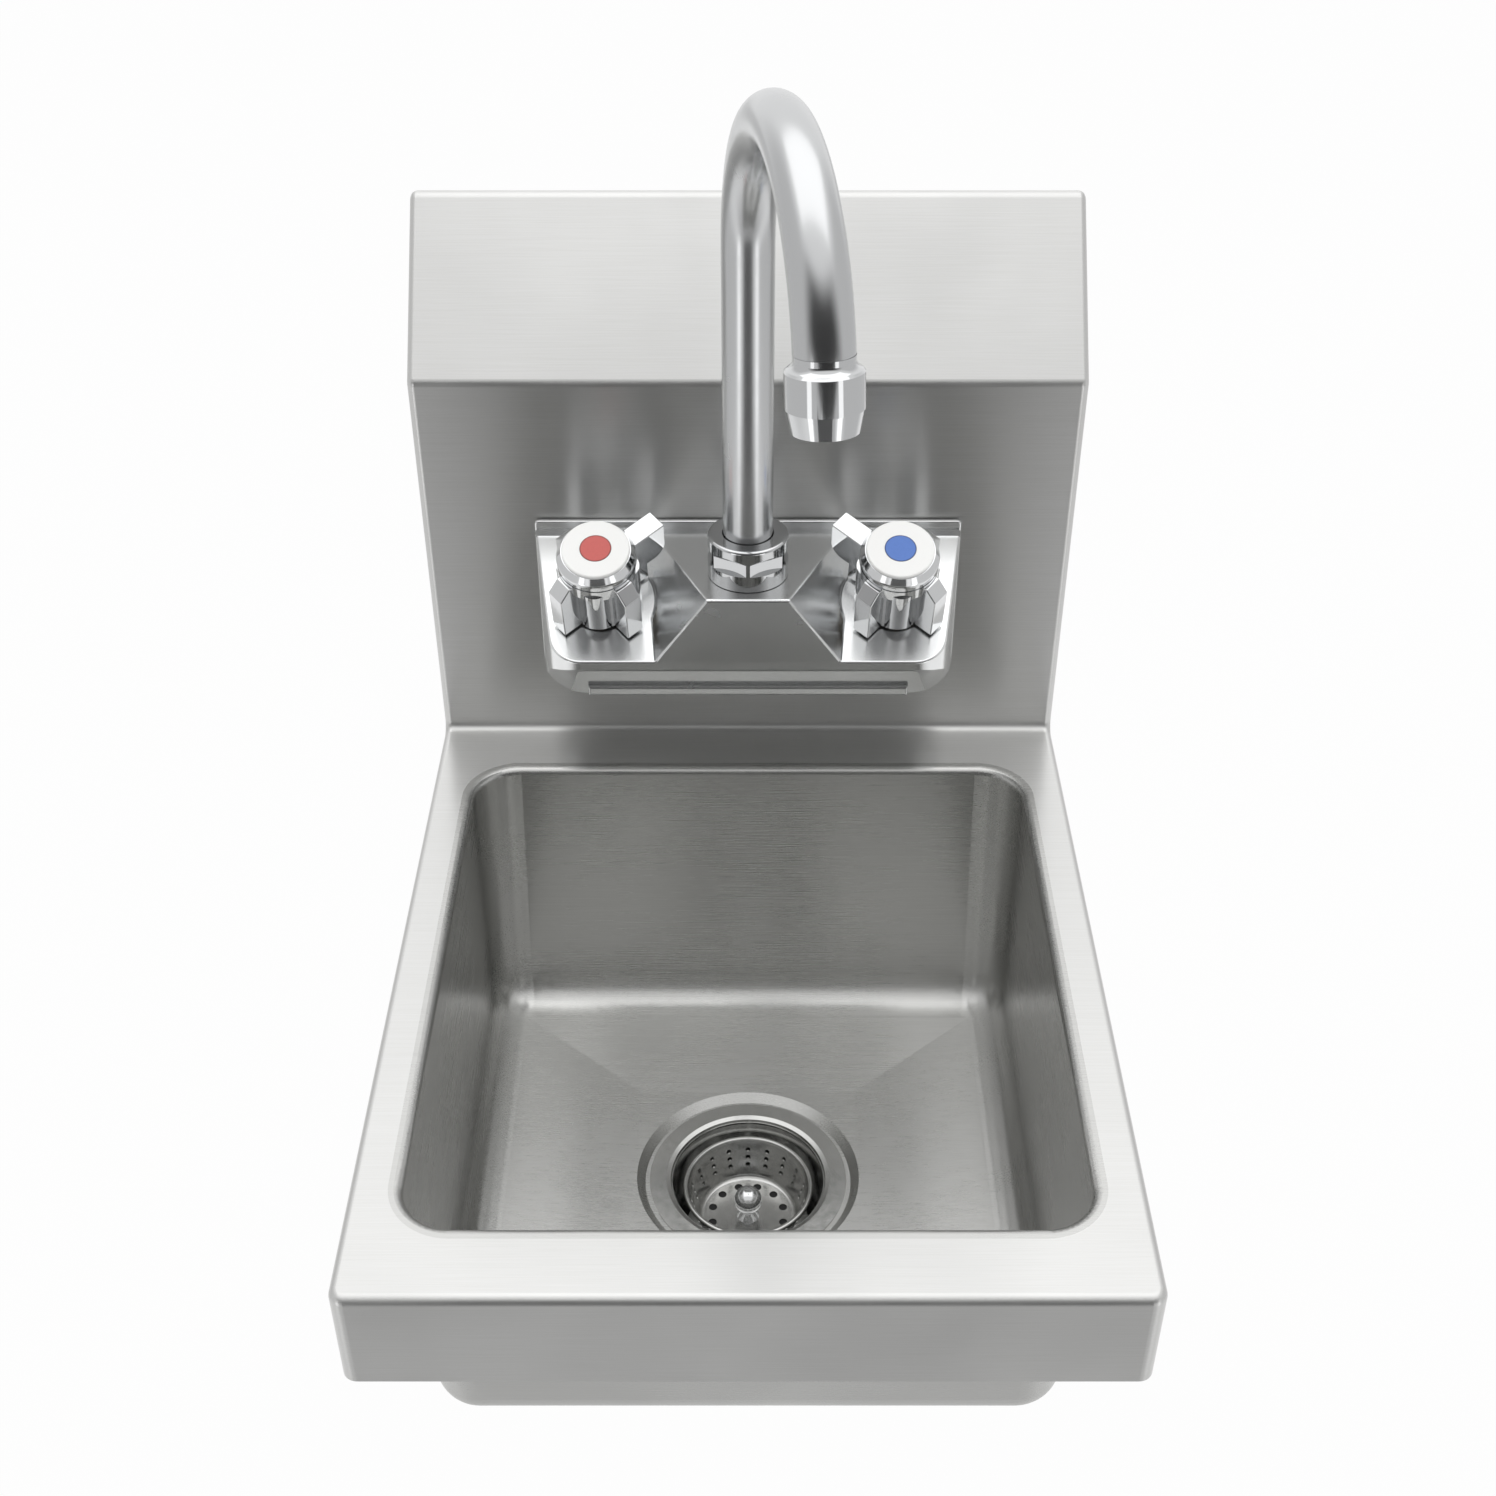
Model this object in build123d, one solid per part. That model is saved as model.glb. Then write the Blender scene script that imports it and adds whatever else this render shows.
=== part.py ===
from build123d import *
import math
import os

# A wall-mounted hand sink with a two-handle gooseneck tap and a basket strainer.
# Millimetres. X is to the right, -Y is out into the room, Z is up. Y = 0 is the
# wall, and the origin is the middle of the wall bracket's line of screw holes.

# Sheet metal of the sink
SHEET = 1.2
WIDTH = 305.0
DECK_DEPTH = 350.0
SPLASH_STAND = 66.0
SPLASH_HEIGHT = 190.0
SLOPE_RISE = 73.0
APRON_HEIGHT = 47.8
FOLD_R = 3.5
CORNER_R = 6.0
COVE_R = 4.0
BEND_R = 5.0
TOP_BEND_R = 5.0
LIP_HEIGHT = 36.0

# Bowl
RIM_SIDE = 17.0
RIM_FRONT = 30.0
RIM_REAR = 31.2
ROLL_R = 3.5
WELD_LAND = 2.0
BOWL_DEPTH = 138.5
BOWL_DRAFT_SIDE = 1.2
BOWL_DRAFT_END = 14.0
BOWL_CORNER_R = 21.0
BOWL_FOOT_CORNER_R = 18.0
FLOOR_R = 17.0
FLOOR_FALL = 3.0
DRAIN_SETBACK = 7.6
RECESS_R = 53.0
RECESS_DEPTH = 3.5
RECESS_SLOPE = 4.0

# Wall bracket
BRACKET_LENGTH = 254.0
BRACKET_SHEET = 1.5
BRACKET_BELOW_HOLES = 14.0
BRACKET_HOLE_COUNT = 4
BRACKET_HOLE_SPACING = 70.0
BRACKET_HOLE_R = 3.2
BRACKET_TONGUE = 15.0
LIP_GAP = 0.4
HOLES_BELOW_LIP = 12.0

# Tap casting. Heights are above the deck and reaches are out from the splash.
GASKET = 0.8
GASKET_INSET = 3.0
TAP_HALF_WIDTH = 99.5
TAP_BOTTOM = 26.0
TAP_REACH = 67.0
TAP_SIDE_DRAFT = 9.6
TAP_TOP = 117.0
TAP_FRONT_CORNER_R = 15.0
TAP_LOWER_CORNER_R = 20.0
TAP_UPPER_CORNER_R = 2.0
TAP_FLANGE = 6.0
TAP_RIM = 4.0
TAP_LIP = 3.5
BACK_RIM = 4.0
BACK_RIM_REACH = 2.6
BACK_RIM_EDGE_R = 0.8
PAD_TILT = 24.0
PAD_BACK_HEIGHT = 115.2
HUMP_HALF_BACK = 47.0
HUMP_HALF_RIDGE = 18.0
HUMP_RIDGE_REACH = 65.0
HUMP_SPREAD = 0.78
SCOOP_R = 25.4
HOLLOW_WALL = 11.5
HOLLOW_BACK_HEIGHT = 50.0
HOLLOW_CORNER_R = 6.0
TAP_EDGE_R = 1.3
LEDGE_REACH = 9.0
LEDGE_HEIGHT = 5.5
LEDGE_HALF_LENGTH = 78.5
LEDGE_EDGE_R = 1.5

# Inlets
INLET_SPACING = 101.6
INLET_HEIGHT = 76.0
SHANK_R = 10.4
SHANK_BORE_R = 6.5
SHANK_IN_TAP = 18.0
SHANK_BEHIND = 34.0
THREAD_GAP = 0.05
SPLASH_HOLE_R = 11.5
SHANK_WASHER_R = 17.0
SHANK_WASHER = 1.6
SHANK_NUT_FLATS = 30.0
SHANK_NUT = 8.0
RELIEF = 1.5
RELIEF_DEPTH = 0.6

# Spout. SWIVEL is where it stands at rest, off straight ahead towards +X.
SPOUT_REACH = 41.0
SPOUT_R = 11.1
SPOUT_WALL = 1.5
SPOUT_FOOT_WALL = 2.6
SPOUT_FOOT_HEIGHT = 94.0
SPOUT_ARC_R = 72.0
SPOUT_ARC_HEIGHT = 270.5
SPOUT_ARC_ANGLE = 170.0
SPOUT_TAIL = 3.4
SWIVEL = 10.6
SWIVEL_GAP = 0.05
BORE_FLOOR_HEIGHT = 88.0
BOSS_R = 14.5
BOSS_HEIGHT = 12.0
NUT_R = 18.1
NUT_BASE = 8.0
NUT_HEIGHT = 20.6
NUT_FLATS = 32.2
NUT_FLAT_HEIGHT = 6.0
NUT_BORE_R = 11.6
NUT_EDGE_R = 1.4
NUT_LIFT = 0.3
SPLIT_RING_R = 13.6
SPLIT_RING_DEPTH = 0.9
SPLIT_RING = 1.8
SPLIT_RING_SLIT = 3.0
ORING_R = 1.0
ORING_PITCH = 9.0
ORING_FIRST = 6.0

# Outlet, along the spout from the end of its arc
COLLAR_R = 14.2
COLLAR_LENGTH = 13.8
COLLAR_SOCKET = 5.0
COLLAR_THREAD_R = 12.0
COLLAR_CHAMFER = 0.8
COLLAR_FLARE = 5.0
AERATOR_LENGTH = 8.6
AERATOR_TOP_R = 13.9
AERATOR_TIP_R = 12.2
AERATOR_BORE_R = 9.6
AERATOR_LEDGE = 1.6
INSERT_THICKNESS = 4.0
INSERT_HOLE_R = 0.9
INSERT_INNER_RING = 3.4
INSERT_INNER_COUNT = 6
INSERT_OUTER_RING = 6.8
INSERT_OUTER_COUNT = 12
AERATOR_WASHER = 1.5

# Handles, in a frame that stands on the pad with Z along the stem
HANDLE_X = 67.1
HANDLE_REACH = 37.0
KNOB_LIFT = 1.6
KNOB_SHOULDER = 32.5
KNOB_TOP = 42.0
KNOB_NECK_R = 17.8
KNOB_NECK_TOP = 37.0
NECK_ROUND_R = 3.0
KNOB_CAP_LIP = 0.5
CAP_PROUD = 1.4
KNOB_CORE_R = 15.6
KNOB_SKIRT_TOP = 6.5
GROOVE_DEPTH = 0.9
GROOVE_LOW = 33.4
GROOVE_HIGH = 34.4
COLUMN_R = 6.6
COLUMN_OUT = 18.8
LOBE_COUNT = 4
LOBE_WIDTH = 8.8
LOBE_OUT = 24.6
LOBE_CHAMFER = 5.4
LEVER_ANGLE = 41.5
LEVER_WIDTH = 10.0
LEVER_OUT = 35.0
LEVER_DEPTH = 20.0
LEVER_ROUND_R = 7.0
KNOB_EDGE_R = 0.5
KNOB_HOLLOW_R = 13.6
KNOB_HOLLOW_TOP = 20.0
CAP_R = 15.1
CAP_THICKNESS = 2.2
CAP_GAP = 0.05
CAP_EDGE_R = 0.7
INDEX_R = 7.0
INDEX_THICKNESS = 1.0
INDEX_SUNK = 0.9

# Valves
VALVE_R = 10.0
VALVE_DEPTH = 22.0
VALVE_HEX_FLATS = 22.0
VALVE_HEX = 6.0
VALVE_NECK_R = 8.0
VALVE_NECK_TOP = 14.0
VALVE_CHAMBER_R = 7.3
VALVE_CHAMBER_TOP = -14.0
STEM_R = 4.5
STEM_TOP = 33.0
STEM_FOOT_R = 7.0
STEM_FOOT = 4.0
STEM_GAP = 0.05
SEAL_THICKNESS = 2.0
SEAL_R = 9.6
SEAL_BORE_R = 5.0
HANDLE_SCREW_R = 2.0
HANDLE_SCREW_LENGTH = 12.0
HANDLE_SCREW_HEAD_R = 3.7
HANDLE_SCREW_HEAD = 2.4
HEAD_POCKET_R = 5.0
HANDLE_WEB = 3.0

# Strainer. Heights are below the top of its flange.
FLANGE_R = 47.0
FLANGE_THICKNESS = 2.0
FLANGE_SLOPE = 0.8
THROAT_R = 37.0
CUP_R = 34.5
CUP_WALL = 1.6
CUP_DEPTH = 38.0
CUP_BEND_R = 4.0
OUTLET_R = 19.0
SPIGOT_R = 23.0
SPIGOT_BOTTOM = 60.0
STRAINER_HOLE_GAP = 1.2
GASKET_R = 50.0
GASKET_THICKNESS = 3.0
SLIP_WASHER = 1.0
LOCKNUT_R = 48.0
LOCKNUT_THICKNESS = 9.0
LOCKNUT_LUG_COUNT = 6
LOCKNUT_LUG_R = 53.0
LOCKNUT_LUG_WIDTH = 12.0

# Basket
BASKET_RIM_R = 31.2
BASKET_RIM_WIRE_R = 1.3
BASKET_RIM_DROP = 7.0
BASKET_TOP_R = 29.5
BASKET_FOOT_R = 24.0
BASKET_DEPTH = 21.5
BASKET_SHEET = 0.8
BASKET_BEND_R = 3.0
WALL_HOLE_R = 1.2
WALL_HOLE_COUNT = 18
WALL_HOLE_DROPS = (4.9, 9.0, 13.1)
PLATE_HOLE_R = 2.0
PLATE_HOLE_COUNT = 12
PLATE_HOLE_OUT = 17.7
BALL_R = 6.8
BALL_HEIGHT = 10.8
POST_R = 3.0
POST_FOOT_R = 5.5
POST_FOOT_HEIGHT = 3.0
STUD_R = 2.5
STOPPER_R = 21.5
STOPPER_SEAT_GAP = 0.3

# Tailpiece
TAIL_R = 19.05
TAIL_WALL = 1.0
TAIL_LENGTH = 76.0
TAIL_FLANGE_R = 22.4
TAIL_FLANGE = 1.5
TAIL_WASHER = 2.0
TAIL_GROOVE = 1.5
TAIL_GROOVE_DEPTH = 0.4
TAIL_NUT_R = 27.5
TAIL_NUT_HEIGHT = 16.0
TAIL_NUT_LIP = 2.5

# Places that follow from the sizes above
DECK_Z = HOLES_BELOW_LIP + LIP_HEIGHT - SLOPE_RISE - SPLASH_HEIGHT
APRON_Z = DECK_Z - APRON_HEIGHT
FRONT_Y = -SPLASH_STAND - DECK_DEPTH
BOWL_LENGTH = DECK_DEPTH - RIM_FRONT - RIM_REAR
BOWL_Y = -SPLASH_STAND - RIM_REAR - BOWL_LENGTH / 2
FLOOR_Z = DECK_Z - BOWL_DEPTH - FLOOR_FALL
FLANGE_Z = FLOOR_Z - RECESS_DEPTH + FLANGE_THICKNESS
PAD_SLOPE = math.tan(math.radians(PAD_TILT))
TAP = Pos(0, -SPLASH_STAND, DECK_Z)
DRAIN = Pos(0, BOWL_Y + DRAIN_SETBACK, FLANGE_Z)
BEYOND = 20.0


def block(x, y, z):
    """Box between a low and a high limit on each axis."""
    sizes = [high - low for low, high in (x, y, z)]
    middle = [(high + low) / 2 for low, high in (x, y, z)]
    return Pos(*middle) * Box(*sizes)


def disc(radius, low, high):
    """Cylinder about Z between two heights."""
    return Pos(0, 0, (low + high) / 2) * Cylinder(radius, high - low)


def ring(outer, inner, low, high):
    """Tube about Z between two heights."""
    return disc(outer, low, high) - disc(inner, low, high)


def outlined(points, rounds=()):
    """Face in the XZ plane, with a radius at the corners that are named."""
    face = make_face(Polyline(*[(x, 0, z) for x, z in points], close=True))
    for x, z, radius in rounds:
        corner = face.vertices().sort_by_distance((x, 0, z))[0]
        face = fillet(corner, radius)
    return face


def turned(points, rounds=()):
    """Solid turned about Z from points of radius and height."""
    return revolve(outlined(points, rounds), Axis.Z)


def across_x(points, low, high):
    """Straight bar along X whose outline is given as points of Y and Z."""
    face = Plane.YZ * make_face(Polyline(*points, close=True))
    return Pos(low, 0, 0) * extrude(face, amount=high - low)


def hexagon_bar(flats, low, high):
    """Hexagonal bar about Z with a corner towards -Y."""
    corner_r = flats / 2 / math.cos(math.radians(30))
    face = Rot(0, 0, 30) * RegularPolygon(corner_r, 6)
    return Pos(0, 0, low) * extrude(face, amount=high - low)


def around_z(solid, count, first=0.0):
    """Copies of a solid, evenly spaced about Z."""
    return [Rot(0, 0, first + 360 / count * n) * solid for n in range(count)]


# Folded sink


def sink_block(inset):
    """Filled outside of the deck and splash, drawn in by an inset."""
    half = WIDTH / 2 - inset
    front = FRONT_Y + inset
    splash = -SPLASH_STAND + inset
    deck = DECK_Z - inset
    foot = APRON_Z if inset == 0 else APRON_Z - BEYOND
    angle = math.atan2(SLOPE_RISE, SPLASH_STAND)
    bend_z = DECK_Z + SPLASH_HEIGHT - inset * (1 - math.sin(angle)) / math.cos(angle)
    top_z = bend_z + (-inset - splash) * math.tan(angle)
    cove = Vector(splash, deck)
    bend = Vector(splash, bend_z)
    top = Vector(-inset, top_z)
    points = [(front, foot), (front, deck), cove, bend, top, (-inset, foot)]
    face = make_face(Polyline(*points, close=True))
    rounds = ((cove, COVE_R + inset), (bend, BEND_R - inset), (top, TOP_BEND_R - inset))
    for corner, radius in rounds:
        vertex = face.vertices().sort_by_distance(corner)[0]
        face = fillet(vertex, radius)
    body = Pos(-half, 0, 0) * extrude(Plane.YZ * face, amount=2 * half)
    corners = body.edges().filter_by(Axis.Z).group_by(Axis.Y)[0]
    body = fillet(corners, CORNER_R - inset)
    return fillet(rolled_edges(body, half, front + CORNER_R - inset, foot, deck), FOLD_R - inset)


def rolled_edges(body, half, corner_y, foot, deck):
    """Edges of the sink that are rolled over: both ends, and round the deck's front."""
    chosen = []
    for edge in body.edges():
        middle = edge @ 0.5
        on_end = abs(abs(middle.X) - half) < 1e-3
        upright = abs(edge.tangent_at(0.5).Z) > 0.999
        if on_end and middle.Z > foot + 1e-3:
            behind = upright and middle.Y > -SPLASH_STAND / 2
            before = upright and abs(middle.Y - corner_y) < 1e-3
            if not behind and not before:
                chosen.append(edge)
        elif abs(middle.Z - deck) < 1e-3 and middle.Y < corner_y - 1e-3:
            chosen.append(edge)
    return chosen


def sink_shell():
    """Deck and splash as one folded sheet, open below and at the wall under the lip."""
    half = WIDTH / 2 - SHEET
    lip_z = HOLES_BELOW_LIP
    back_opening = block((-half, half), (-2 * SHEET, BEYOND), (APRON_Z - BEYOND, lip_z))
    return sink_block(0) - sink_block(SHEET) - back_opening


def splash_space():
    """Space behind and above the weld between the deck and the splash."""
    half = WIDTH
    joint_y = -SPLASH_STAND + SHEET
    above = block((-half, half), (FRONT_Y, BEYOND), (DECK_Z + COVE_R, DECK_Z + WIDTH))
    behind = block((-half, half), (joint_y, BEYOND), (APRON_Z - BEYOND, DECK_Z + COVE_R))
    return above + behind


def bowl_outline(reach, corner_r):
    """Rounded outline that stands off the start of the rim's roll by a reach."""
    width = WIDTH - 2 * RIM_SIDE + 2 * reach
    return RectangleRounded(width, BOWL_LENGTH + 2 * reach, corner_r)


def bowl_well(grow):
    """Inside of the bowl below the rim, grown outward by the sheet for its outside."""
    top = bowl_outline(grow - ROLL_R, BOWL_CORNER_R + grow)
    half_x = WIDTH / 2 - RIM_SIDE - ROLL_R - BOWL_DRAFT_SIDE
    half_y = BOWL_LENGTH / 2 - ROLL_R - BOWL_DRAFT_END
    foot = RectangleRounded(2 * (half_x + grow), 2 * (half_y + grow), BOWL_FOOT_CORNER_R + grow)
    well = loft([top, Pos(0, 0, -BOWL_DEPTH - grow) * foot], ruled=True)
    well = fillet(well.faces().sort_by(Axis.Z)[0].edges(), FLOOR_R + grow)
    return well + floor_fall(half_x - FLOOR_R, half_y - FLOOR_R, grow) + floor_recess(grow)


def floor_fall(half_x, half_y, grow):
    """Four flats of the floor that fall towards the drain."""
    around_drain = Pos(0, DRAIN_SETBACK) * Rectangle(2 * RECESS_R, 2 * RECESS_R)
    high = Pos(0, 0, -BOWL_DEPTH - grow) * Rectangle(2 * half_x, 2 * half_y)
    low = Pos(0, 0, -BOWL_DEPTH - FLOOR_FALL - grow) * around_drain
    return loft([high, low], ruled=True)


def floor_recess(grow):
    """Sunk ring in which the strainer's flange lies."""
    high = -BOWL_DEPTH - FLOOR_FALL - grow
    low = high - RECESS_DEPTH
    foot_r = RECESS_R - RECESS_SLOPE + grow
    cone = turned([(0, low), (foot_r, low), (foot_r + RECESS_SLOPE, high), (0, high)])
    return Pos(0, DRAIN_SETBACK) * cone


def weld_outline():
    """Edge of the bowl's flange, where it is welded into the deck."""
    return bowl_outline(WELD_LAND, BOWL_CORNER_R + ROLL_R + WELD_LAND)


def hole_edges(solid, height):
    """Edges of the hole in a solid's level face at a height."""
    level = [face for face in solid.faces().filter_by(Plane.XY) if abs(face.center().Z - height) < 1e-3]
    pierced = [face for face in level if face.inner_wires()]
    return pierced[0].inner_wires()[0].edges()


def make_bowl():
    """Drawn bowl with its rolled rim and the sunk ring round the drain hole."""
    flange = Pos(0, 0, -SHEET) * extrude(weld_outline(), amount=SHEET)
    outside = flange + bowl_well(SHEET)
    outside = fillet(hole_edges(outside, -SHEET), ROLL_R - SHEET)
    bowl = outside - bowl_well(0)
    bowl = fillet(hole_edges(bowl, 0), ROLL_R)
    hole = disc(CUP_R + CUP_WALL + STRAINER_HOLE_GAP, -BOWL_DEPTH - BEYOND, -BOWL_DEPTH)
    return Pos(0, BOWL_Y, DECK_Z) * (bowl - Pos(0, DRAIN_SETBACK) * hole)


def make_deck_and_splash():
    """Deck pan and backsplash, which meet at a weld just above the cove."""
    shell = sink_shell()
    splash = shell & splash_space()
    deck = shell - splash_space()
    opening = Pos(0, BOWL_Y, DECK_Z - BEYOND) * extrude(weld_outline(), amount=2 * BEYOND)
    holes = [
        TAP * Pos(x, 0, INLET_HEIGHT) * Rot(90, 0, 0) * disc(SPLASH_HOLE_R, -BEYOND, BEYOND)
        for x in (-INLET_SPACING / 2, INLET_SPACING / 2)
    ]
    return deck - opening, splash - holes


def make_wall_bracket():
    """Strip screwed to the wall, joggled out so that the lip drops behind its tongue."""
    inner = -SHEET - LIP_GAP
    outer = inner - BRACKET_SHEET
    ledge = HOLES_BELOW_LIP
    points = [
        (0, -BRACKET_BELOW_HOLES),
        (0, ledge),
        (inner, ledge),
        (inner, ledge + BRACKET_TONGUE),
        (outer, ledge + BRACKET_TONGUE),
        (outer, ledge - BRACKET_SHEET),
        (-BRACKET_SHEET, ledge - BRACKET_SHEET),
        (-BRACKET_SHEET, -BRACKET_BELOW_HOLES),
    ]
    strip = across_x(points, -BRACKET_LENGTH / 2, BRACKET_LENGTH / 2)
    first = -BRACKET_HOLE_SPACING * (BRACKET_HOLE_COUNT - 1) / 2
    holes = [
        Pos(first + BRACKET_HOLE_SPACING * n, 0, 0) * Rot(90, 0, 0) * disc(BRACKET_HOLE_R, -BEYOND, BEYOND)
        for n in range(BRACKET_HOLE_COUNT)
    ]
    return strip - holes


# Tap casting


def pad_height(reach):
    """Height of the sloped pads above the deck at a reach out from the splash."""
    return PAD_BACK_HEIGHT - PAD_SLOPE * reach


def wall_outline(inset, above=0.0):
    """Outline of the casting where it lies on the splash, in X and height."""
    half = TAP_HALF_WIDTH - inset
    low = TAP_BOTTOM + inset
    high = TAP_TOP + above - inset
    face = make_face(Polyline((-half, low), (half, low), (half, high), (-half, high), close=True))
    lower = face.vertices().group_by(Axis.Y)[0]
    face = fillet(lower, TAP_LOWER_CORNER_R - inset)
    upper = face.vertices().group_by(Axis.Y)[-1]
    return fillet(upper, TAP_UPPER_CORNER_R)


def standing_on_splash(face, near, far):
    """Extrusion of an outline in X and height, between two reaches."""
    return extrude(Plane.XZ.offset(near) * face, amount=far - near)


def tap_plan(side_wall, front_wall, corner_r):
    """Casting seen from above, drawn in by its walls: sides with draft, front corners round."""
    front = TAP_REACH - front_wall
    wide = TAP_HALF_WIDTH - side_wall
    narrow = wide - front * math.tan(math.radians(TAP_SIDE_DRAFT))
    points = [(-wide, -GASKET), (-narrow, -front), (narrow, -front), (wide, -GASKET)]
    face = make_face(Polyline(*points, close=True))
    face = fillet(face.vertices().group_by(Axis.Y)[0], corner_r)
    return extrude(face, amount=TAP_TOP)


def tap_skin():
    """Outline on the splash, carried forward and up along the slope of the underside."""
    root = standing_on_splash(wall_outline(0), 0, TAP_FLANGE)
    rise = pad_height(TAP_REACH) - TAP_RIM - TAP_BOTTOM
    run = TAP_REACH - TAP_FLANGE
    outline = Plane.XZ.offset(TAP_FLANGE) * wall_outline(0)
    return root + extrude(outline, amount=math.hypot(rise, run), dir=(0, -run, rise))


def hump_flank(side_sign):
    """Everything on the inner side of one of the hump's flat flanks."""
    drop = TAP_TOP - pad_height(TAP_REACH)
    lean = (HUMP_HALF_BACK - HUMP_HALF_RIDGE) / HUMP_RIDGE_REACH
    far = HUMP_RIDGE_REACH + BEYOND
    outline = Polyline(
        (side_sign * HUMP_HALF_BACK, 0),
        (side_sign * (HUMP_HALF_BACK - lean * far), -far),
        (-side_sign * WIDTH, -far),
        (-side_sign * WIDTH, 0),
        close=True,
    )
    spread = HUMP_SPREAD * drop
    face = Pos(0, 0, TAP_TOP) * make_face(outline)
    return extrude(face, amount=math.hypot(spread, drop), dir=(side_sign * spread, 0, -drop))


def tap_hump():
    """Raised middle of the casting, scooped out round the handles."""
    side = [
        (-GASKET, pad_height(TAP_REACH)),
        (-TAP_REACH, pad_height(TAP_REACH)),
        (-HUMP_RIDGE_REACH, TAP_TOP),
        (-GASKET, TAP_TOP),
    ]
    hump = across_x(side, -TAP_HALF_WIDTH, TAP_HALF_WIDTH) & hump_flank(-1) & hump_flank(1)
    scoop = disc(SCOOP_R, 0, TAP_TOP)
    return hump - handle_place(-1) * scoop - handle_place(1) * scoop


def tap_outside():
    """Casting with soft edges, before its hollow and bores are cut."""
    rim_z = pad_height(TAP_REACH) - TAP_RIM
    side = [
        (-GASKET, TAP_BOTTOM),
        (-TAP_FLANGE, TAP_BOTTOM),
        (-TAP_REACH, rim_z),
        (-TAP_REACH, pad_height(TAP_REACH)),
        (-GASKET, pad_height(GASKET)),
    ]
    body = across_x(side, -TAP_HALF_WIDTH, TAP_HALF_WIDTH) & tap_plan(0, 0, TAP_FRONT_CORNER_R)
    lip = standing_on_splash(wall_outline(0), GASKET, TAP_LIP)
    lip = lip & block((-WIDTH, WIDTH), (-TAP_REACH, 0), (pad_height(TAP_LIP), TAP_TOP))
    body = (body & tap_skin()) + tap_hump() + lip
    soft = []
    for edge in body.edges():
        middle = edge @ 0.5
        upright = abs(edge.tangent_at(0.5).Z) > 0.999
        if middle.Y < -TAP_LIP - TAP_EDGE_R / 2 and middle.Z > rim_z + 0.1 and not upright:
            soft.append(edge)
    return fillet(soft, TAP_EDGE_R)


def back_rim():
    """Thin rim of the casting against the splash, standing above the rest."""
    plate = standing_on_splash(wall_outline(0, BACK_RIM), GASKET, BACK_RIM_REACH)
    return fillet(plate.faces().sort_by(Axis.Y)[0].edges(), BACK_RIM_EDGE_R)


def tap_ledge():
    """Bar along the foot of the casting's back wall."""
    side = [
        (-GASKET, TAP_BOTTOM),
        (-LEDGE_REACH, TAP_BOTTOM),
        (-LEDGE_REACH, TAP_BOTTOM + LEDGE_HEIGHT),
        (-GASKET, TAP_BOTTOM + LEDGE_HEIGHT),
    ]
    bar = across_x(side, -LEDGE_HALF_LENGTH, LEDGE_HALF_LENGTH)
    front = [edge for edge in bar.edges() if (edge @ 0.5).Y < -LEDGE_REACH + 0.1]
    return fillet(front, LEDGE_EDGE_R)


def make_tap_body():
    """Chromed casting with its hollow underside, bores and the spout's threaded boss."""
    rim_z = pad_height(TAP_REACH) - TAP_RIM
    inner = -TAP_REACH + TAP_RIM
    hollow_side = [
        (inner, 0),
        (inner, rim_z),
        (-TAP_FLANGE, HOLLOW_BACK_HEIGHT),
        (-TAP_FLANGE, 0),
    ]
    hollow = across_x(hollow_side, -TAP_HALF_WIDTH, TAP_HALF_WIDTH)
    body = tap_outside() - (hollow & tap_plan(HOLLOW_WALL, TAP_RIM, HOLLOW_CORNER_R))
    body = body + back_rim() + tap_ledge()
    boss = disc(BOSS_R, TAP_TOP - 1, TAP_TOP + BOSS_HEIGHT)
    bore = disc(SPOUT_R + SWIVEL_GAP, BORE_FLOOR_HEIGHT, TAP_TOP + BEYOND)
    body = body + Pos(0, -SPOUT_REACH, 0) * boss - Pos(0, -SPOUT_REACH, 0) * bore
    for side_sign in (-1, 1):
        pocket = disc(VALVE_R + THREAD_GAP, -VALVE_DEPTH - SEAL_THICKNESS, BEYOND)
        body = body - handle_place(side_sign) * pocket
        socket = disc(SHANK_R + THREAD_GAP, -SHANK_IN_TAP, BEYOND)
        place = Pos(side_sign * INLET_SPACING / 2, 0, INLET_HEIGHT) * Rot(-90, 0, 0)
        body = body - place * socket
    return TAP * body


def handle_place(side_sign):
    """Frame on the left (-1) or right (1) pad, with Z along the valve's stem."""
    foot = Pos(side_sign * HANDLE_X, -HANDLE_REACH, pad_height(HANDLE_REACH))
    return foot * Rot(PAD_TILT, 0, 0)


def make_tap_gasket():
    """Foam gasket between the casting and the splash."""
    pad = standing_on_splash(wall_outline(GASKET_INSET), 0, GASKET)
    for x in (-INLET_SPACING / 2, INLET_SPACING / 2):
        pad = pad - Pos(x, 0, INLET_HEIGHT) * Rot(90, 0, 0) * disc(SPLASH_HOLE_R, -BEYOND, BEYOND)
    return TAP * pad


def inlet_place(side_sign):
    """Frame at an inlet on the splash, with Z pointing back to the wall."""
    return TAP * Pos(side_sign * INLET_SPACING / 2, 0, INLET_HEIGHT) * Rot(-90, 0, 0)


def make_shank():
    """Nipple through the splash, with a relief between its two threads."""
    nut_end = SHEET + SHANK_WASHER + SHANK_NUT
    relief = ring(SHANK_R + 1, SHANK_R - RELIEF_DEPTH, nut_end, nut_end + RELIEF)
    return ring(SHANK_R, SHANK_BORE_R, -SHANK_IN_TAP, SHANK_BEHIND) - relief


def make_shank_washer():
    """Flat washer against the back of the splash."""
    return ring(SHANK_WASHER_R, SHANK_R + THREAD_GAP, SHEET, SHEET + SHANK_WASHER)


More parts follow.
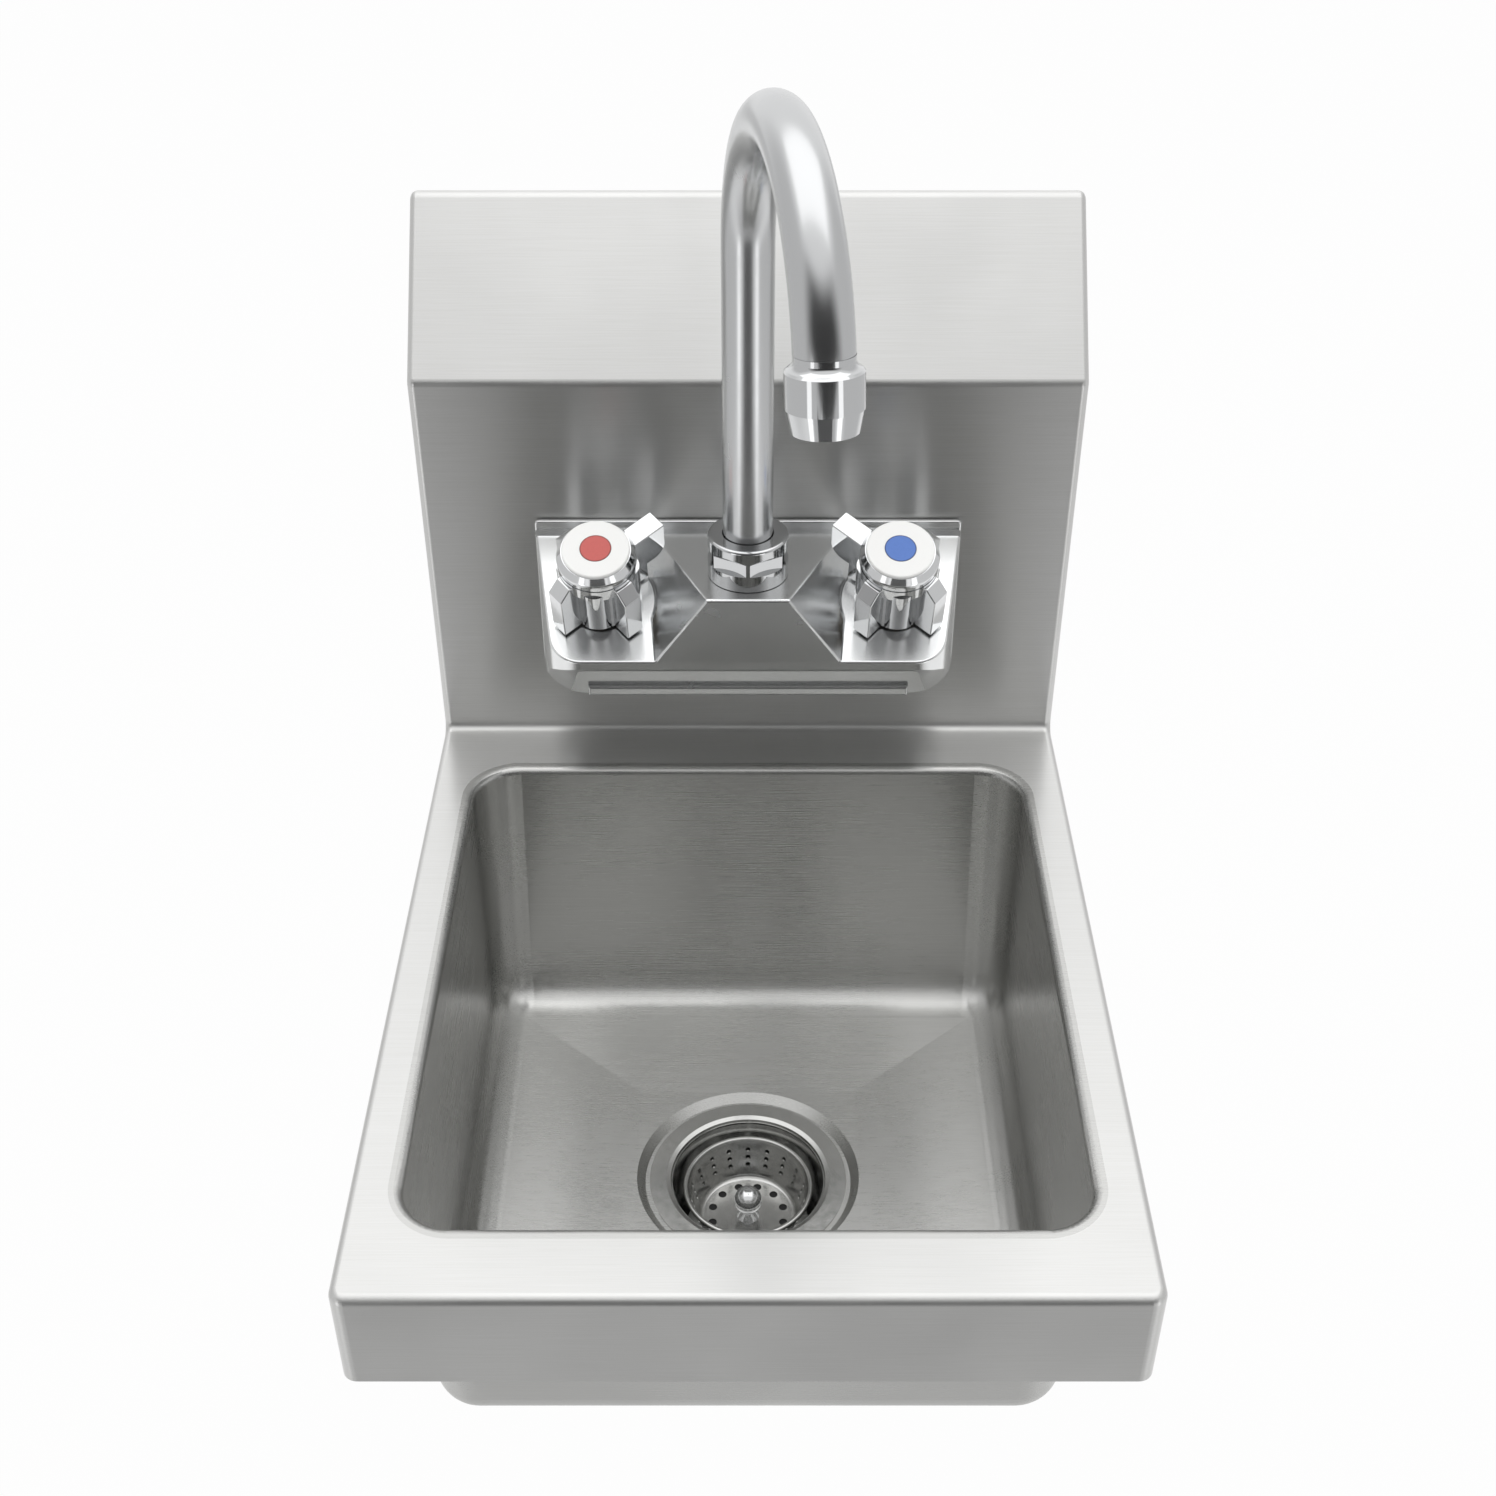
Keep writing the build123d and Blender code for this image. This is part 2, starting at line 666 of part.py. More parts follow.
def make_shank_locknut():
    """Hexagon nut behind the washer."""
    low = SHEET + SHANK_WASHER
    nut = hexagon_bar(SHANK_NUT_FLATS, low, low + SHANK_NUT)
    return nut - disc(SHANK_R + THREAD_GAP, low, low + SHANK_NUT)


# Spout


def swivelled(solid):
    """A solid made about the tap's axis, pointing to -Y, set where the spout rests."""
    return TAP * Pos(0, -SPOUT_REACH, 0) * Rot(0, 0, SWIVEL) * solid


def gooseneck(outer, inner):
    """Bent tube: upright leg, then the arc."""
    leg = ring(outer, inner, TAP_TOP, SPOUT_ARC_HEIGHT)
    section = Pos(0, 0, SPOUT_ARC_HEIGHT) * (Circle(outer) - Circle(inner))
    centre = Axis((0, -SPOUT_ARC_R, SPOUT_ARC_HEIGHT), (1, 0, 0))
    tail = outlet_place() * ring(outer, inner, -SPOUT_TAIL, 0)
    return leg + revolve(section, centre, SPOUT_ARC_ANGLE) + tail


def outlet_place():
    """Frame at the end of the tube, with Z along the flow."""
    arc_end = Pos(0, -SPOUT_ARC_R, SPOUT_ARC_HEIGHT) * Rot(SPOUT_ARC_ANGLE, 0, 0)
    return arc_end * Pos(0, SPOUT_ARC_R, SPOUT_TAIL)


def split_ring_bottom():
    """Height at which the split ring lies on the casting's boss."""
    return TAP_TOP + BOSS_HEIGHT


def make_spout_tube():
    """Gooseneck with a thick foot, grooved for the seals and the split ring."""
    foot = ring(SPOUT_R, SPOUT_R - SPOUT_FOOT_WALL, SPOUT_FOOT_HEIGHT, TAP_TOP + NUT_HEIGHT)
    tube = gooseneck(SPOUT_R, SPOUT_R - SPOUT_WALL) + foot
    for height in oring_heights():
        groove = ring(SPOUT_R + 1, SPOUT_R - 2 * ORING_R + SWIVEL_GAP, height - ORING_R, height + ORING_R)
        tube = tube - groove
    low = split_ring_bottom()
    return swivelled(tube - ring(SPOUT_R + 1, SPOUT_R - SPLIT_RING_DEPTH, low, low + SPLIT_RING))


def oring_heights():
    """Heights of the two seals above the deck."""
    return [SPOUT_FOOT_HEIGHT + ORING_FIRST + ORING_PITCH * n for n in range(2)]


def make_spout_orings():
    """Two rubber rings on the foot of the tube."""
    wire_r = ORING_R - SWIVEL_GAP
    one = Torus(SPOUT_R - wire_r, wire_r)
    return [swivelled(Pos(0, 0, height) * one) for height in oring_heights()]


def make_split_ring():
    """Plastic snap ring in its groove, between the boss and the nut's roof."""
    low = split_ring_bottom()
    whole = ring(SPLIT_RING_R, SPOUT_R - SPLIT_RING_DEPTH, low, low + SPLIT_RING)
    half = SPLIT_RING_SLIT / 2
    slit = block((-half, half), (0, 2 * SPLIT_RING_R), (low - 1, low + 2 * SPLIT_RING))
    return swivelled(whole - slit)


def make_spout_nut():
    """Round nut with six wrench flats, over the boss and the split ring."""
    low = TAP_TOP + NUT_LIFT
    flat_low = TAP_TOP + NUT_BASE
    flat_high = flat_low + NUT_FLAT_HEIGHT
    run_out = NUT_R - NUT_FLATS / 2
    high = TAP_TOP + NUT_HEIGHT
    upright = hexagon_bar(NUT_FLATS, flat_low, flat_high)
    small = Pos(0, 0, flat_high) * Rot(0, 0, 30) * RegularPolygon(NUT_FLATS / 2, 6, major_radius=False)
    large = Pos(0, 0, flat_high + run_out) * Rot(0, 0, 30) * RegularPolygon(NUT_R, 6, major_radius=False)
    top = disc(NUT_R, flat_high + run_out, high)
    top = fillet(top.edges().sort_by(Axis.Z)[-1], NUT_EDGE_R)
    middle = (upright + loft([small, large], ruled=True)) & disc(NUT_R, flat_low, high)
    nut = disc(NUT_R, low, flat_low) + middle + top
    roof = split_ring_bottom() + SPLIT_RING + SWIVEL_GAP
    nut = nut - disc(BOSS_R + THREAD_GAP, low, roof) - disc(NUT_BORE_R, low, high)
    return TAP * Pos(0, -SPOUT_REACH, 0) * nut


def make_spout_collar():
    """Collar brazed over the end of the tube, flared on to it and threaded for the aerator."""
    top = -COLLAR_SOCKET
    bottom = top + COLLAR_LENGTH
    edge_r = COLLAR_R - COLLAR_CHAMFER
    flare = edge_r - SPOUT_R
    sag = Vector(SPOUT_R + 0.25 * flare, 0, top - 0.3 * COLLAR_FLARE)
    outline = Curve() + [
        Line((SPOUT_R, 0, bottom), (SPOUT_R, 0, top - COLLAR_FLARE)),
        ThreePointArc((SPOUT_R, 0, top - COLLAR_FLARE), sag, (edge_r, 0, top)),
        Polyline((edge_r, 0, top), (COLLAR_R, 0, top + COLLAR_CHAMFER), (COLLAR_R, 0, bottom)),
        Line((COLLAR_R, 0, bottom), (SPOUT_R, 0, bottom)),
    ]
    collar = revolve(make_face(outline), Axis.Z)
    return swivelled(outlet_place() * (collar - disc(COLLAR_THREAD_R, 0, bottom)))


def aerator_top():
    """Where the aerator's visible shell begins, below the collar."""
    return COLLAR_LENGTH - COLLAR_SOCKET


def make_aerator_shell():
    """Tapered outlet shell with a threaded neck inside the collar."""
    top = aerator_top()
    tip = top + AERATOR_LENGTH
    shell = turned(
        [
            (AERATOR_BORE_R - AERATOR_LEDGE, tip),
            (AERATOR_TIP_R, tip),
            (AERATOR_TOP_R, top),
            (COLLAR_THREAD_R - THREAD_GAP, top),
            (COLLAR_THREAD_R - THREAD_GAP, AERATOR_WASHER),
            (AERATOR_BORE_R, AERATOR_WASHER),
            (AERATOR_BORE_R, tip - AERATOR_LEDGE),
            (AERATOR_BORE_R - AERATOR_LEDGE, tip - AERATOR_LEDGE),
        ]
    )
    return swivelled(outlet_place() * shell)


def make_aerator_insert():
    """Plastic flow straightener, drilled through, on the shell's ledge."""
    low = aerator_top() + AERATOR_LENGTH - AERATOR_LEDGE
    insert = disc(AERATOR_BORE_R - THREAD_GAP, low - INSERT_THICKNESS, low)
    hole = disc(INSERT_HOLE_R, low - BEYOND, low + BEYOND)
    insert = insert - around_z(Pos(INSERT_INNER_RING, 0, 0) * hole, INSERT_INNER_COUNT)
    insert = insert - around_z(Pos(INSERT_OUTER_RING, 0, 0) * hole, INSERT_OUTER_COUNT)
    return swivelled(outlet_place() * insert)


def make_aerator_washer():
    """Rubber washer between the tube's end and the aerator's neck."""
    washer = ring(COLLAR_THREAD_R - THREAD_GAP, SPOUT_R - SPOUT_WALL, 0, AERATOR_WASHER)
    return swivelled(outlet_place() * washer)


# Handles


def radial_bar(points, width, rounds=()):
    """Upright bar that runs out along +X, from points of radius and height."""
    bar = Pos(0, width / 2, 0) * extrude(outlined(points, rounds), amount=width, dir=(0, -1, 0))
    outer = [edge for edge in bar.edges() if (edge @ 0.5).X > KNOB_EDGE_R]
    return fillet(outer, KNOB_EDGE_R)


def knob_neck():
    """Domed neck between the lobes and the cap."""
    lip_r = CAP_R + KNOB_CAP_LIP
    lip_z = KNOB_TOP - CAP_PROUD
    dome = [
        (0, KNOB_SHOULDER - LOBE_CHAMFER),
        (KNOB_NECK_R, KNOB_SHOULDER - LOBE_CHAMFER),
        (KNOB_NECK_R, KNOB_NECK_TOP),
        (lip_r, lip_z),
        (0, lip_z),
    ]
    neck = turned(dome, [(KNOB_NECK_R, KNOB_NECK_TOP, NECK_ROUND_R)])
    return neck - ring(KNOB_NECK_R + 1, KNOB_NECK_R - GROOVE_DEPTH, GROOVE_LOW, GROOVE_HIGH)


def knob_column():
    """Upright flute, cut back at its foot."""
    column = Pos(COLUMN_OUT - COLUMN_R, 0, 0) * disc(COLUMN_R, KNOB_LIFT, KNOB_SHOULDER - LOBE_CHAMFER / 2)
    beyond = COLUMN_OUT + 1
    foot = [(KNOB_CORE_R, KNOB_LIFT), (beyond, KNOB_LIFT), (beyond, KNOB_SKIRT_TOP)]
    return column - turned(foot)


def knob_outside():
    """Lobed knob with the lever, before its hollow is cut."""
    lobe = radial_bar(
        [
            (0, KNOB_LIFT),
            (LOBE_OUT, KNOB_LIFT),
            (LOBE_OUT, KNOB_SHOULDER - LOBE_CHAMFER),
            (LOBE_OUT - LOBE_CHAMFER, KNOB_SHOULDER),
            (0, KNOB_SHOULDER),
        ],
        LOBE_WIDTH,
    )
    lever_foot = KNOB_SHOULDER - LEVER_DEPTH
    lever = radial_bar(
        [
            (0, lever_foot),
            (LEVER_OUT, lever_foot),
            (LEVER_OUT, KNOB_SHOULDER),
            (0, KNOB_SHOULDER),
        ],
        LEVER_WIDTH,
        [(LEVER_OUT, lever_foot, LEVER_ROUND_R)],
    )
    knob = disc(KNOB_CORE_R, KNOB_LIFT, KNOB_SHOULDER) + knob_neck()
    knob = knob + around_z(knob_column(), LOBE_COUNT, LEVER_ANGLE + 180 / LOBE_COUNT)
    return knob + around_z(lobe, LOBE_COUNT, LEVER_ANGLE) + Rot(0, 0, LEVER_ANGLE) * lever


def cap_seat():
    """Height of the cap's underside in the knob."""
    return KNOB_TOP - CAP_THICKNESS


def make_handle():
    """Chromed handle on the left pad."""
    hollow = disc(KNOB_HOLLOW_R, 0, KNOB_HOLLOW_TOP) + disc(STEM_R + THREAD_GAP, 0, STEM_TOP)
    hollow = hollow + disc(HANDLE_SCREW_R + THREAD_GAP, STEM_TOP, cap_seat())
    hollow = hollow + disc(HEAD_POCKET_R, STEM_TOP + HANDLE_WEB, cap_seat())
    hollow = hollow + disc(CAP_R + CAP_GAP, cap_seat(), KNOB_TOP)
    return knob_outside() - hollow


def make_cap():
    """White cap, sunk for the index disc."""
    outline = [(0, cap_seat()), (CAP_R, cap_seat()), (CAP_R, KNOB_TOP), (0, KNOB_TOP)]
    cap = turned(outline, [(CAP_R, KNOB_TOP, CAP_EDGE_R)])
    return cap - disc(INDEX_R + CAP_GAP, KNOB_TOP - INDEX_SUNK, KNOB_TOP)


def make_index():
    """Coloured disc in the cap."""
    low = KNOB_TOP - INDEX_SUNK
    return disc(INDEX_R, low, low + INDEX_THICKNESS)


def make_handle_screw():
    """Screw down through the handle into the stem."""
    seat = STEM_TOP + HANDLE_WEB
    return disc(HANDLE_SCREW_HEAD_R, seat, seat + HANDLE_SCREW_HEAD) + disc(
        HANDLE_SCREW_R, seat - HANDLE_SCREW_LENGTH, seat
    )


def make_stem():
    """Stem that turns with the handle, with its foot in the valve's chamber."""
    stem = disc(STEM_R, VALVE_CHAMBER_TOP - STEM_FOOT, STEM_TOP)
    foot = disc(STEM_FOOT_R, VALVE_CHAMBER_TOP - STEM_GAP - STEM_FOOT, VALVE_CHAMBER_TOP - STEM_GAP)
    tapped = disc(HANDLE_SCREW_R + THREAD_GAP, STEM_TOP + HANDLE_WEB - HANDLE_SCREW_LENGTH - 1, STEM_TOP)
    return stem + foot - tapped


def make_valve():
    """Valve body screwed into the casting, with a hexagon above the pad."""
    body = disc(VALVE_R, -VALVE_DEPTH, 0) + hexagon_bar(VALVE_HEX_FLATS, 0, VALVE_HEX)
    body = body + disc(VALVE_NECK_R, VALVE_HEX, VALVE_NECK_TOP)
    body = body - disc(STEM_R + STEM_GAP, -VALVE_DEPTH, VALVE_NECK_TOP)
    return body - disc(VALVE_CHAMBER_R, -VALVE_DEPTH, VALVE_CHAMBER_TOP)


def make_valve_seal():
    """Rubber seat seal at the bottom of the pocket."""
    return ring(SEAL_R, SEAL_BORE_R, -VALVE_DEPTH - SEAL_THICKNESS, -VALVE_DEPTH)


# Drain


def make_strainer_body():
    """Pressed strainer cup with its flange in the bowl's sunk ring."""
    wall_r = CUP_R + CUP_WALL
    floor = -CUP_DEPTH
    cup = turned(
        [
            (FLANGE_R, -FLANGE_THICKNESS),
            (FLANGE_R, -FLANGE_SLOPE),
            (THROAT_R + 2, 0),
            (THROAT_R, -FLANGE_SLOPE),
            (CUP_R, -BASKET_RIM_DROP),
            (CUP_R, floor + CUP_BEND_R),
            (CUP_R - CUP_BEND_R, floor),
            (OUTLET_R, floor),
            (OUTLET_R, -SPIGOT_BOTTOM),
            (SPIGOT_R, -SPIGOT_BOTTOM),
            (SPIGOT_R, floor - CUP_WALL),
            (wall_r - CUP_BEND_R, floor - CUP_WALL),
            (wall_r, floor + CUP_BEND_R - CUP_WALL),
            (wall_r, -FLANGE_THICKNESS),
        ]
    )
    return DRAIN * cup


def under_bowl():
    """Underside of the bowl's sunk ring, measured from the top of the flange."""
    return -FLANGE_THICKNESS - SHEET


def make_strainer_gasket():
    """Rubber gasket below the bowl."""
    high = under_bowl()
    return DRAIN * ring(GASKET_R, CUP_R + CUP_WALL + THREAD_GAP, high - GASKET_THICKNESS, high)


def make_strainer_washer():
    """Fibre washer between the gasket and the locknut."""
    high = under_bowl() - GASKET_THICKNESS
    return DRAIN * ring(GASKET_R, CUP_R + CUP_WALL + THREAD_GAP, high - SLIP_WASHER, high)


def make_strainer_locknut():
    """Large lugged locknut."""
    high = under_bowl() - GASKET_THICKNESS - SLIP_WASHER
    low = high - LOCKNUT_THICKNESS
    lug = block((0, LOCKNUT_LUG_R), (-LOCKNUT_LUG_WIDTH / 2, LOCKNUT_LUG_WIDTH / 2), (low, high))
    nut = disc(LOCKNUT_R, low, high) + around_z(lug, LOCKNUT_LUG_COUNT)
    return DRAIN * (nut - disc(CUP_R + CUP_WALL + THREAD_GAP, low, high))


def make_basket():
    """Perforated cup with a wired rim."""
    foot = -BASKET_DEPTH
    cup = turned(
        [
            (BASKET_TOP_R - BASKET_SHEET, 0),
            (BASKET_TOP_R, 0),
            (BASKET_FOOT_R, foot),
            (0, foot),
            (0, foot + BASKET_SHEET),
            (BASKET_FOOT_R - BASKET_SHEET, foot + BASKET_SHEET),
        ],
        [
            (BASKET_FOOT_R - BASKET_SHEET, foot + BASKET_SHEET, BASKET_BEND_R),
            (BASKET_FOOT_R, foot, BASKET_BEND_R + BASKET_SHEET),
        ],
    )
    cup = cup + Torus(BASKET_RIM_R - BASKET_RIM_WIRE_R, BASKET_RIM_WIRE_R)
    hole = disc(WALL_HOLE_R, 0, BASKET_RIM_R)
    for drop in WALL_HOLE_DROPS:
        row = Pos(0, 0, -drop) * Rot(0, 90, 0) * hole
        cup = cup - around_z(row, WALL_HOLE_COUNT, 90)
    plate_hole = Pos(PLATE_HOLE_OUT, 0, 0) * disc(PLATE_HOLE_R, foot - 1, foot + 1 + BASKET_SHEET)
    cup = cup - around_z(plate_hole, PLATE_HOLE_COUNT, 180 / PLATE_HOLE_COUNT)
    cup = cup - disc(STUD_R, foot - 1, foot + 1 + BASKET_SHEET)
    return DRAIN * Pos(0, 0, -BASKET_RIM_DROP) * cup


def stopper_top():
    """Top of the rubber stopper, on the underside of the basket's plate."""
    return -BASKET_RIM_DROP - BASKET_DEPTH


def make_basket_post():
    """Turned post with its ball, riveted through the plate."""
    plate = stopper_top() + BASKET_SHEET
    seat = -CUP_DEPTH + STOPPER_SEAT_GAP
    post = disc(POST_R, plate, plate + BALL_HEIGHT)
    foot = turned(
        [
            (0, plate),
            (POST_FOOT_R, plate),
            (POST_R, plate + POST_FOOT_HEIGHT),
            (0, plate + POST_FOOT_HEIGHT),
        ]
    )
    ball = Pos(0, 0, plate + BALL_HEIGHT) * Sphere(BALL_R)
    stud = disc(STUD_R, seat - 1, plate)
    return DRAIN * (post + foot + ball + stud)


def make_basket_stopper():
    """Rubber stopper that closes the cup's outlet when the basket is down."""
    low = -CUP_DEPTH + STOPPER_SEAT_GAP
    return DRAIN * ring(STOPPER_R, STUD_R, low, stopper_top())


def make_tailpiece():
    """Flanged tube below the strainer, grooved to mark where a trap's nut may reach."""
    top = -SPIGOT_BOTTOM - TAIL_WASHER
    pipe = ring(TAIL_R, TAIL_R - TAIL_WALL, top - TAIL_LENGTH, top)
    flange = ring(TAIL_FLANGE_R, TAIL_R - TAIL_WALL, top - TAIL_FLANGE, top)
    mark = top - TAIL_FLANGE - TAIL_NUT_LIP
    groove = ring(TAIL_R + 1, TAIL_R - TAIL_GROOVE_DEPTH, mark - TAIL_GROOVE, mark)
    return DRAIN * (pipe + flange - groove)


def make_tailpiece_washer():
    """Washer between the spigot and the tailpiece's flange."""
    top = -SPIGOT_BOTTOM
    return DRAIN * ring(TAIL_FLANGE_R, TAIL_R - TAIL_WALL, top - TAIL_WASHER, top)


def make_tailpiece_nut():
    """Coupling nut that draws the tailpiece up to the spigot."""
    low = -SPIGOT_BOTTOM - TAIL_WASHER - TAIL_FLANGE - TAIL_NUT_LIP
    high = low + TAIL_NUT_HEIGHT
    nut = hexagon_bar(2 * TAIL_NUT_R * math.cos(math.radians(30)), low, high)
    nut = nut & disc(TAIL_NUT_R - 1, low, high)
    nut = nut - disc(SPIGOT_R + THREAD_GAP, low + TAIL_NUT_LIP, high)
    return DRAIN * (nut - disc(TAIL_R + THREAD_GAP, low, high))


# Writing the pieces out


def tap_side(solid, side_sign):
    """A piece made in the handle's frame, set on the left pad or mirrored to the right."""
    left = TAP * handle_place(-1) * solid
    return left if side_sign < 0 else mirror(left, about=Plane.YZ)


def all_pieces():
    """Every node of the sink by name."""
    deck, splash = make_deck_and_splash()
    pieces = {
        "deck_pan": deck,
        "backsplash": splash,
        "bowl": make_bowl(),
        "wall_bracket": make_wall_bracket(),
        "tap_body": make_tap_body(),
        "tap_gasket": make_tap_gasket(),
        "shank_washers": [inlet_place(side) * make_shank_washer() for side in (-1, 1)],
        "shank_locknuts": [inlet_place(side) * make_shank_locknut() for side in (-1, 1)],
        "spout_tube": make_spout_tube(),
        "spout_orings": make_spout_orings(),
        "spout_split_ring": make_split_ring(),
        "spout_nut": make_spout_nut(),
        "spout_collar": make_spout_collar(),
        "aerator_shell": make_aerator_shell(),
        "aerator_insert": make_aerator_insert(),
        "aerator_washer": make_aerator_washer(),
        "valve_seals": [tap_side(make_valve_seal(), side) for side in (-1, 1)],
        "strainer_body": make_strainer_body(),
        "strainer_gasket": make_strainer_gasket(),
        "strainer_washer": make_strainer_washer(),
        "strainer_locknut": make_strainer_locknut(),
        "basket": make_basket(),
        "basket_post": make_basket_post(),
        "basket_stopper": make_basket_stopper(),
        "tailpiece": make_tailpiece(),
        "tailpiece_washer": make_tailpiece_washer(),
        "tailpiece_nut": make_tailpiece_nut(),
    }
    for side_name, side in (("hot", -1), ("cold", 1)):
        pieces[side_name + "_shank"] = inlet_place(side) * make_shank()
        pieces[side_name + "_valve"] = tap_side(make_valve(), side)
        pieces[side_name + "_stem"] = tap_side(make_stem(), side)
        pieces[side_name + "_handle"] = tap_side(make_handle(), side)
        pieces[side_name + "_handle_screw"] = tap_side(make_handle_screw(), side)
        pieces[side_name + "_cap"] = tap_side(make_cap(), side)
        pieces[side_name + "_index"] = tap_side(make_index(), side)
    return pieces


def write_pieces():
    """One STEP file for each node."""
    os.makedirs("parts", exist_ok=True)
    for name, piece in all_pieces().items():
        solids = piece if isinstance(piece, list) else [piece]
        kept = [solid for shape in solids for solid in shape.solids()]
        shape = kept[0] if len(kept) == 1 else Compound(kept)
        export_step(shape, os.path.join("parts", name + ".step"))
        print(name, len(kept), "solid" if len(kept) == 1 else "solids")


write_pieces()
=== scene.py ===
import math

import bpy
from mathutils import Matrix, Vector


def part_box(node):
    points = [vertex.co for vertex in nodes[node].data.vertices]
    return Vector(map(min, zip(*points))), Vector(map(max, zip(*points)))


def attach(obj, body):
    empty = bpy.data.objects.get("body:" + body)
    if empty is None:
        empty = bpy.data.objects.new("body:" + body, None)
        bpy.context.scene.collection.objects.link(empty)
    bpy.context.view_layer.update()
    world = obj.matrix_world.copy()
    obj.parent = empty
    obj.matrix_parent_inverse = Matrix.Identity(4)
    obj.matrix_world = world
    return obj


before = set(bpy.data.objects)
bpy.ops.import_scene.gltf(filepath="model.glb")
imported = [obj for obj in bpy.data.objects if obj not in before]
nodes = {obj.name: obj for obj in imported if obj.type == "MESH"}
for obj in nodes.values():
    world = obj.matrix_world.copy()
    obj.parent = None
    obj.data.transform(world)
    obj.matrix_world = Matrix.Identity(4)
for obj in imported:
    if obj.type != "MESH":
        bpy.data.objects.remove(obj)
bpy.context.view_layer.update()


# Deck and splash. Two folded pieces of 1.2 mm stainless sheet, welded along the
# crease behind the deck and polished with a belt. The belt leaves fine scratches
# from side to side, which smear every reflection across them.
def linear(code):
    """Linear colour of an sRGB hex code, with full alpha."""
    parts = [int(code[i:i + 2], 16) / 255 for i in (1, 3, 5)]
    return tuple(p / 12.92 if p <= 0.04045 else ((p + 0.055) / 1.055) ** 2.4
                 for p in parts) + (1.0,)


def feed(tree, node, inputs):
    """Gives a node's inputs their values or links."""
    for key, value in dict(inputs).items():
        if isinstance(value, bpy.types.NodeSocket):
            tree.links.new(value, node.inputs[key])
        else:
            node.inputs[key].default_value = value


def add(tree, kind, inputs=(), **settings):
    """Adds a node, with its settings and with values or links for its inputs."""
    node = tree.nodes.new(kind)
    for name, value in settings.items():
        setattr(node, name, value)
    feed(tree, node, inputs)
    return node


def calc(tree, operation, *values):
    """Number worked out from values or links."""
    return add(tree, "ShaderNodeMath", dict(enumerate(values)), operation=operation).outputs[0]


def ramp(tree, value, start, end, low=0.0, high=1.0):
    """Number that goes from low to high as the value goes from start to end."""
    return add(tree, "ShaderNodeMapRange",
               {"Value": value, "From Min": start, "From Max": end,
                "To Min": low, "To Max": high}).outputs["Result"]


def blend(tree, share, first, second):
    """Colour between two hex codes."""
    return add(tree, "ShaderNodeMix",
               {"Factor": share, "A": linear(first), "B": linear(second)},
               data_type="RGBA").outputs["Result"]


def place_in(tree):
    """Place on the object, in metres."""
    return add(tree, "ShaderNodeTexCoord").outputs["Object"]


def noise(tree, place, scale, detail=2.0, **more):
    """Cloudy pattern with about this many patches to the metre."""
    return add(tree, "ShaderNodeTexNoise",
               {"Vector": place, "Scale": scale, "Detail": detail, **more}).outputs["Fac"]


def bump(tree, height, strength, depth):
    """Normal of a surface that a pattern raises by up to a depth in metres."""
    return add(tree, "ShaderNodeBump",
               {"Height": height, "Strength": strength, "Distance": depth}).outputs["Normal"]


def new_material(name, inputs):
    """Material with one shader, and the tree and the shader for more nodes."""
    material = bpy.data.materials.new(name)
    material.use_nodes = True
    tree = material.node_tree
    tree.nodes.clear()
    shader = add(tree, "ShaderNodeBsdfPrincipled", inputs)
    add(tree, "ShaderNodeOutputMaterial", {"Surface": shader.outputs["BSDF"]})
    return material, tree, shader


def dress(names, material):
    """Gives CAD nodes a material."""
    for name in names:
        mesh = nodes[name].data
        mesh.materials.clear()
        mesh.materials.append(material)


# Scratches are about 40 mm long. Real ones are 0.05 mm wide, and these are drawn
# 0.5 mm wide so that they show. Wiping leaves faint duller patches 60 mm across. A
# side counts as facing left or right where the X of its normal is over 0.72. Most
# of a noise pattern lies between the two values of NOISE_SPAN.
SCRATCH_LENGTH = 0.040
SCRATCH_WIDTH = 0.0005
WIPE_SCALE = 16.0
FACES_SIDEWAYS = 0.72
NOISE_SPAN = (0.3, 0.7)


def scratched_steel(name, dark, light, roughness, anisotropy, depth):
    """Steel with scratches along X, or along Y on sides that face left or right."""
    material, tree, shader = new_material(name, {"Metallic": 1.0, "Anisotropic": anisotropy})
    place = place_in(tree)
    normal = add(tree, "ShaderNodeNewGeometry").outputs["Normal"]
    facing = add(tree, "ShaderNodeSeparateXYZ", {"Vector": normal})
    sideways = calc(tree, "ABSOLUTE", facing.outputs["X"])
    side = calc(tree, "GREATER_THAN", sideways, FACES_SIDEWAYS)
    long, fine = 1 / SCRATCH_LENGTH, 1 / SCRATCH_WIDTH
    patterns = []
    for stretch in ((long, fine, fine), (fine, long, fine)):
        laid = add(tree, "ShaderNodeMapping", {"Vector": place, "Scale": stretch})
        patterns.append(noise(tree, laid.outputs["Vector"], 1.0, 5.0, Roughness=0.65))
    scratch = add(tree, "ShaderNodeMix",
                  {"Factor": side, "A": patterns[0], "B": patterns[1]}).outputs["Result"]
    tone = ramp(tree, scratch, *NOISE_SPAN)
    wiped = noise(tree, place, WIPE_SCALE)
    dull = ramp(tree, wiped, *NOISE_SPAN, roughness - 0.02, roughness + 0.03)
    across = calc(tree, "SUBTRACT", 1.0, side)
    grain = add(tree, "ShaderNodeCombineXYZ", {"X": across, "Y": side}).outputs["Vector"]
    smear = add(tree, "ShaderNodeVectorMath", {0: normal, 1: grain}, operation="CROSS_PRODUCT")
    feed(tree, shader, {"Base Color": blend(tree, tone, dark, light),
                        "Roughness": calc(tree, "MULTIPLY_ADD", tone, 0.05, dull),
                        "Tangent": smear.outputs["Vector"],
                        "Normal": bump(tree, scratch, 0.2, depth)})
    return material


# Belt polish draws each reflection out into a soft pale streak across the scratches.
belted = scratched_steel("belt_polished_stainless_steel", "#D9D9D7", "#E1E1E0", 0.31, 0.88,
                         0.000015)
dress(["deck_pan", "backsplash"], belted)

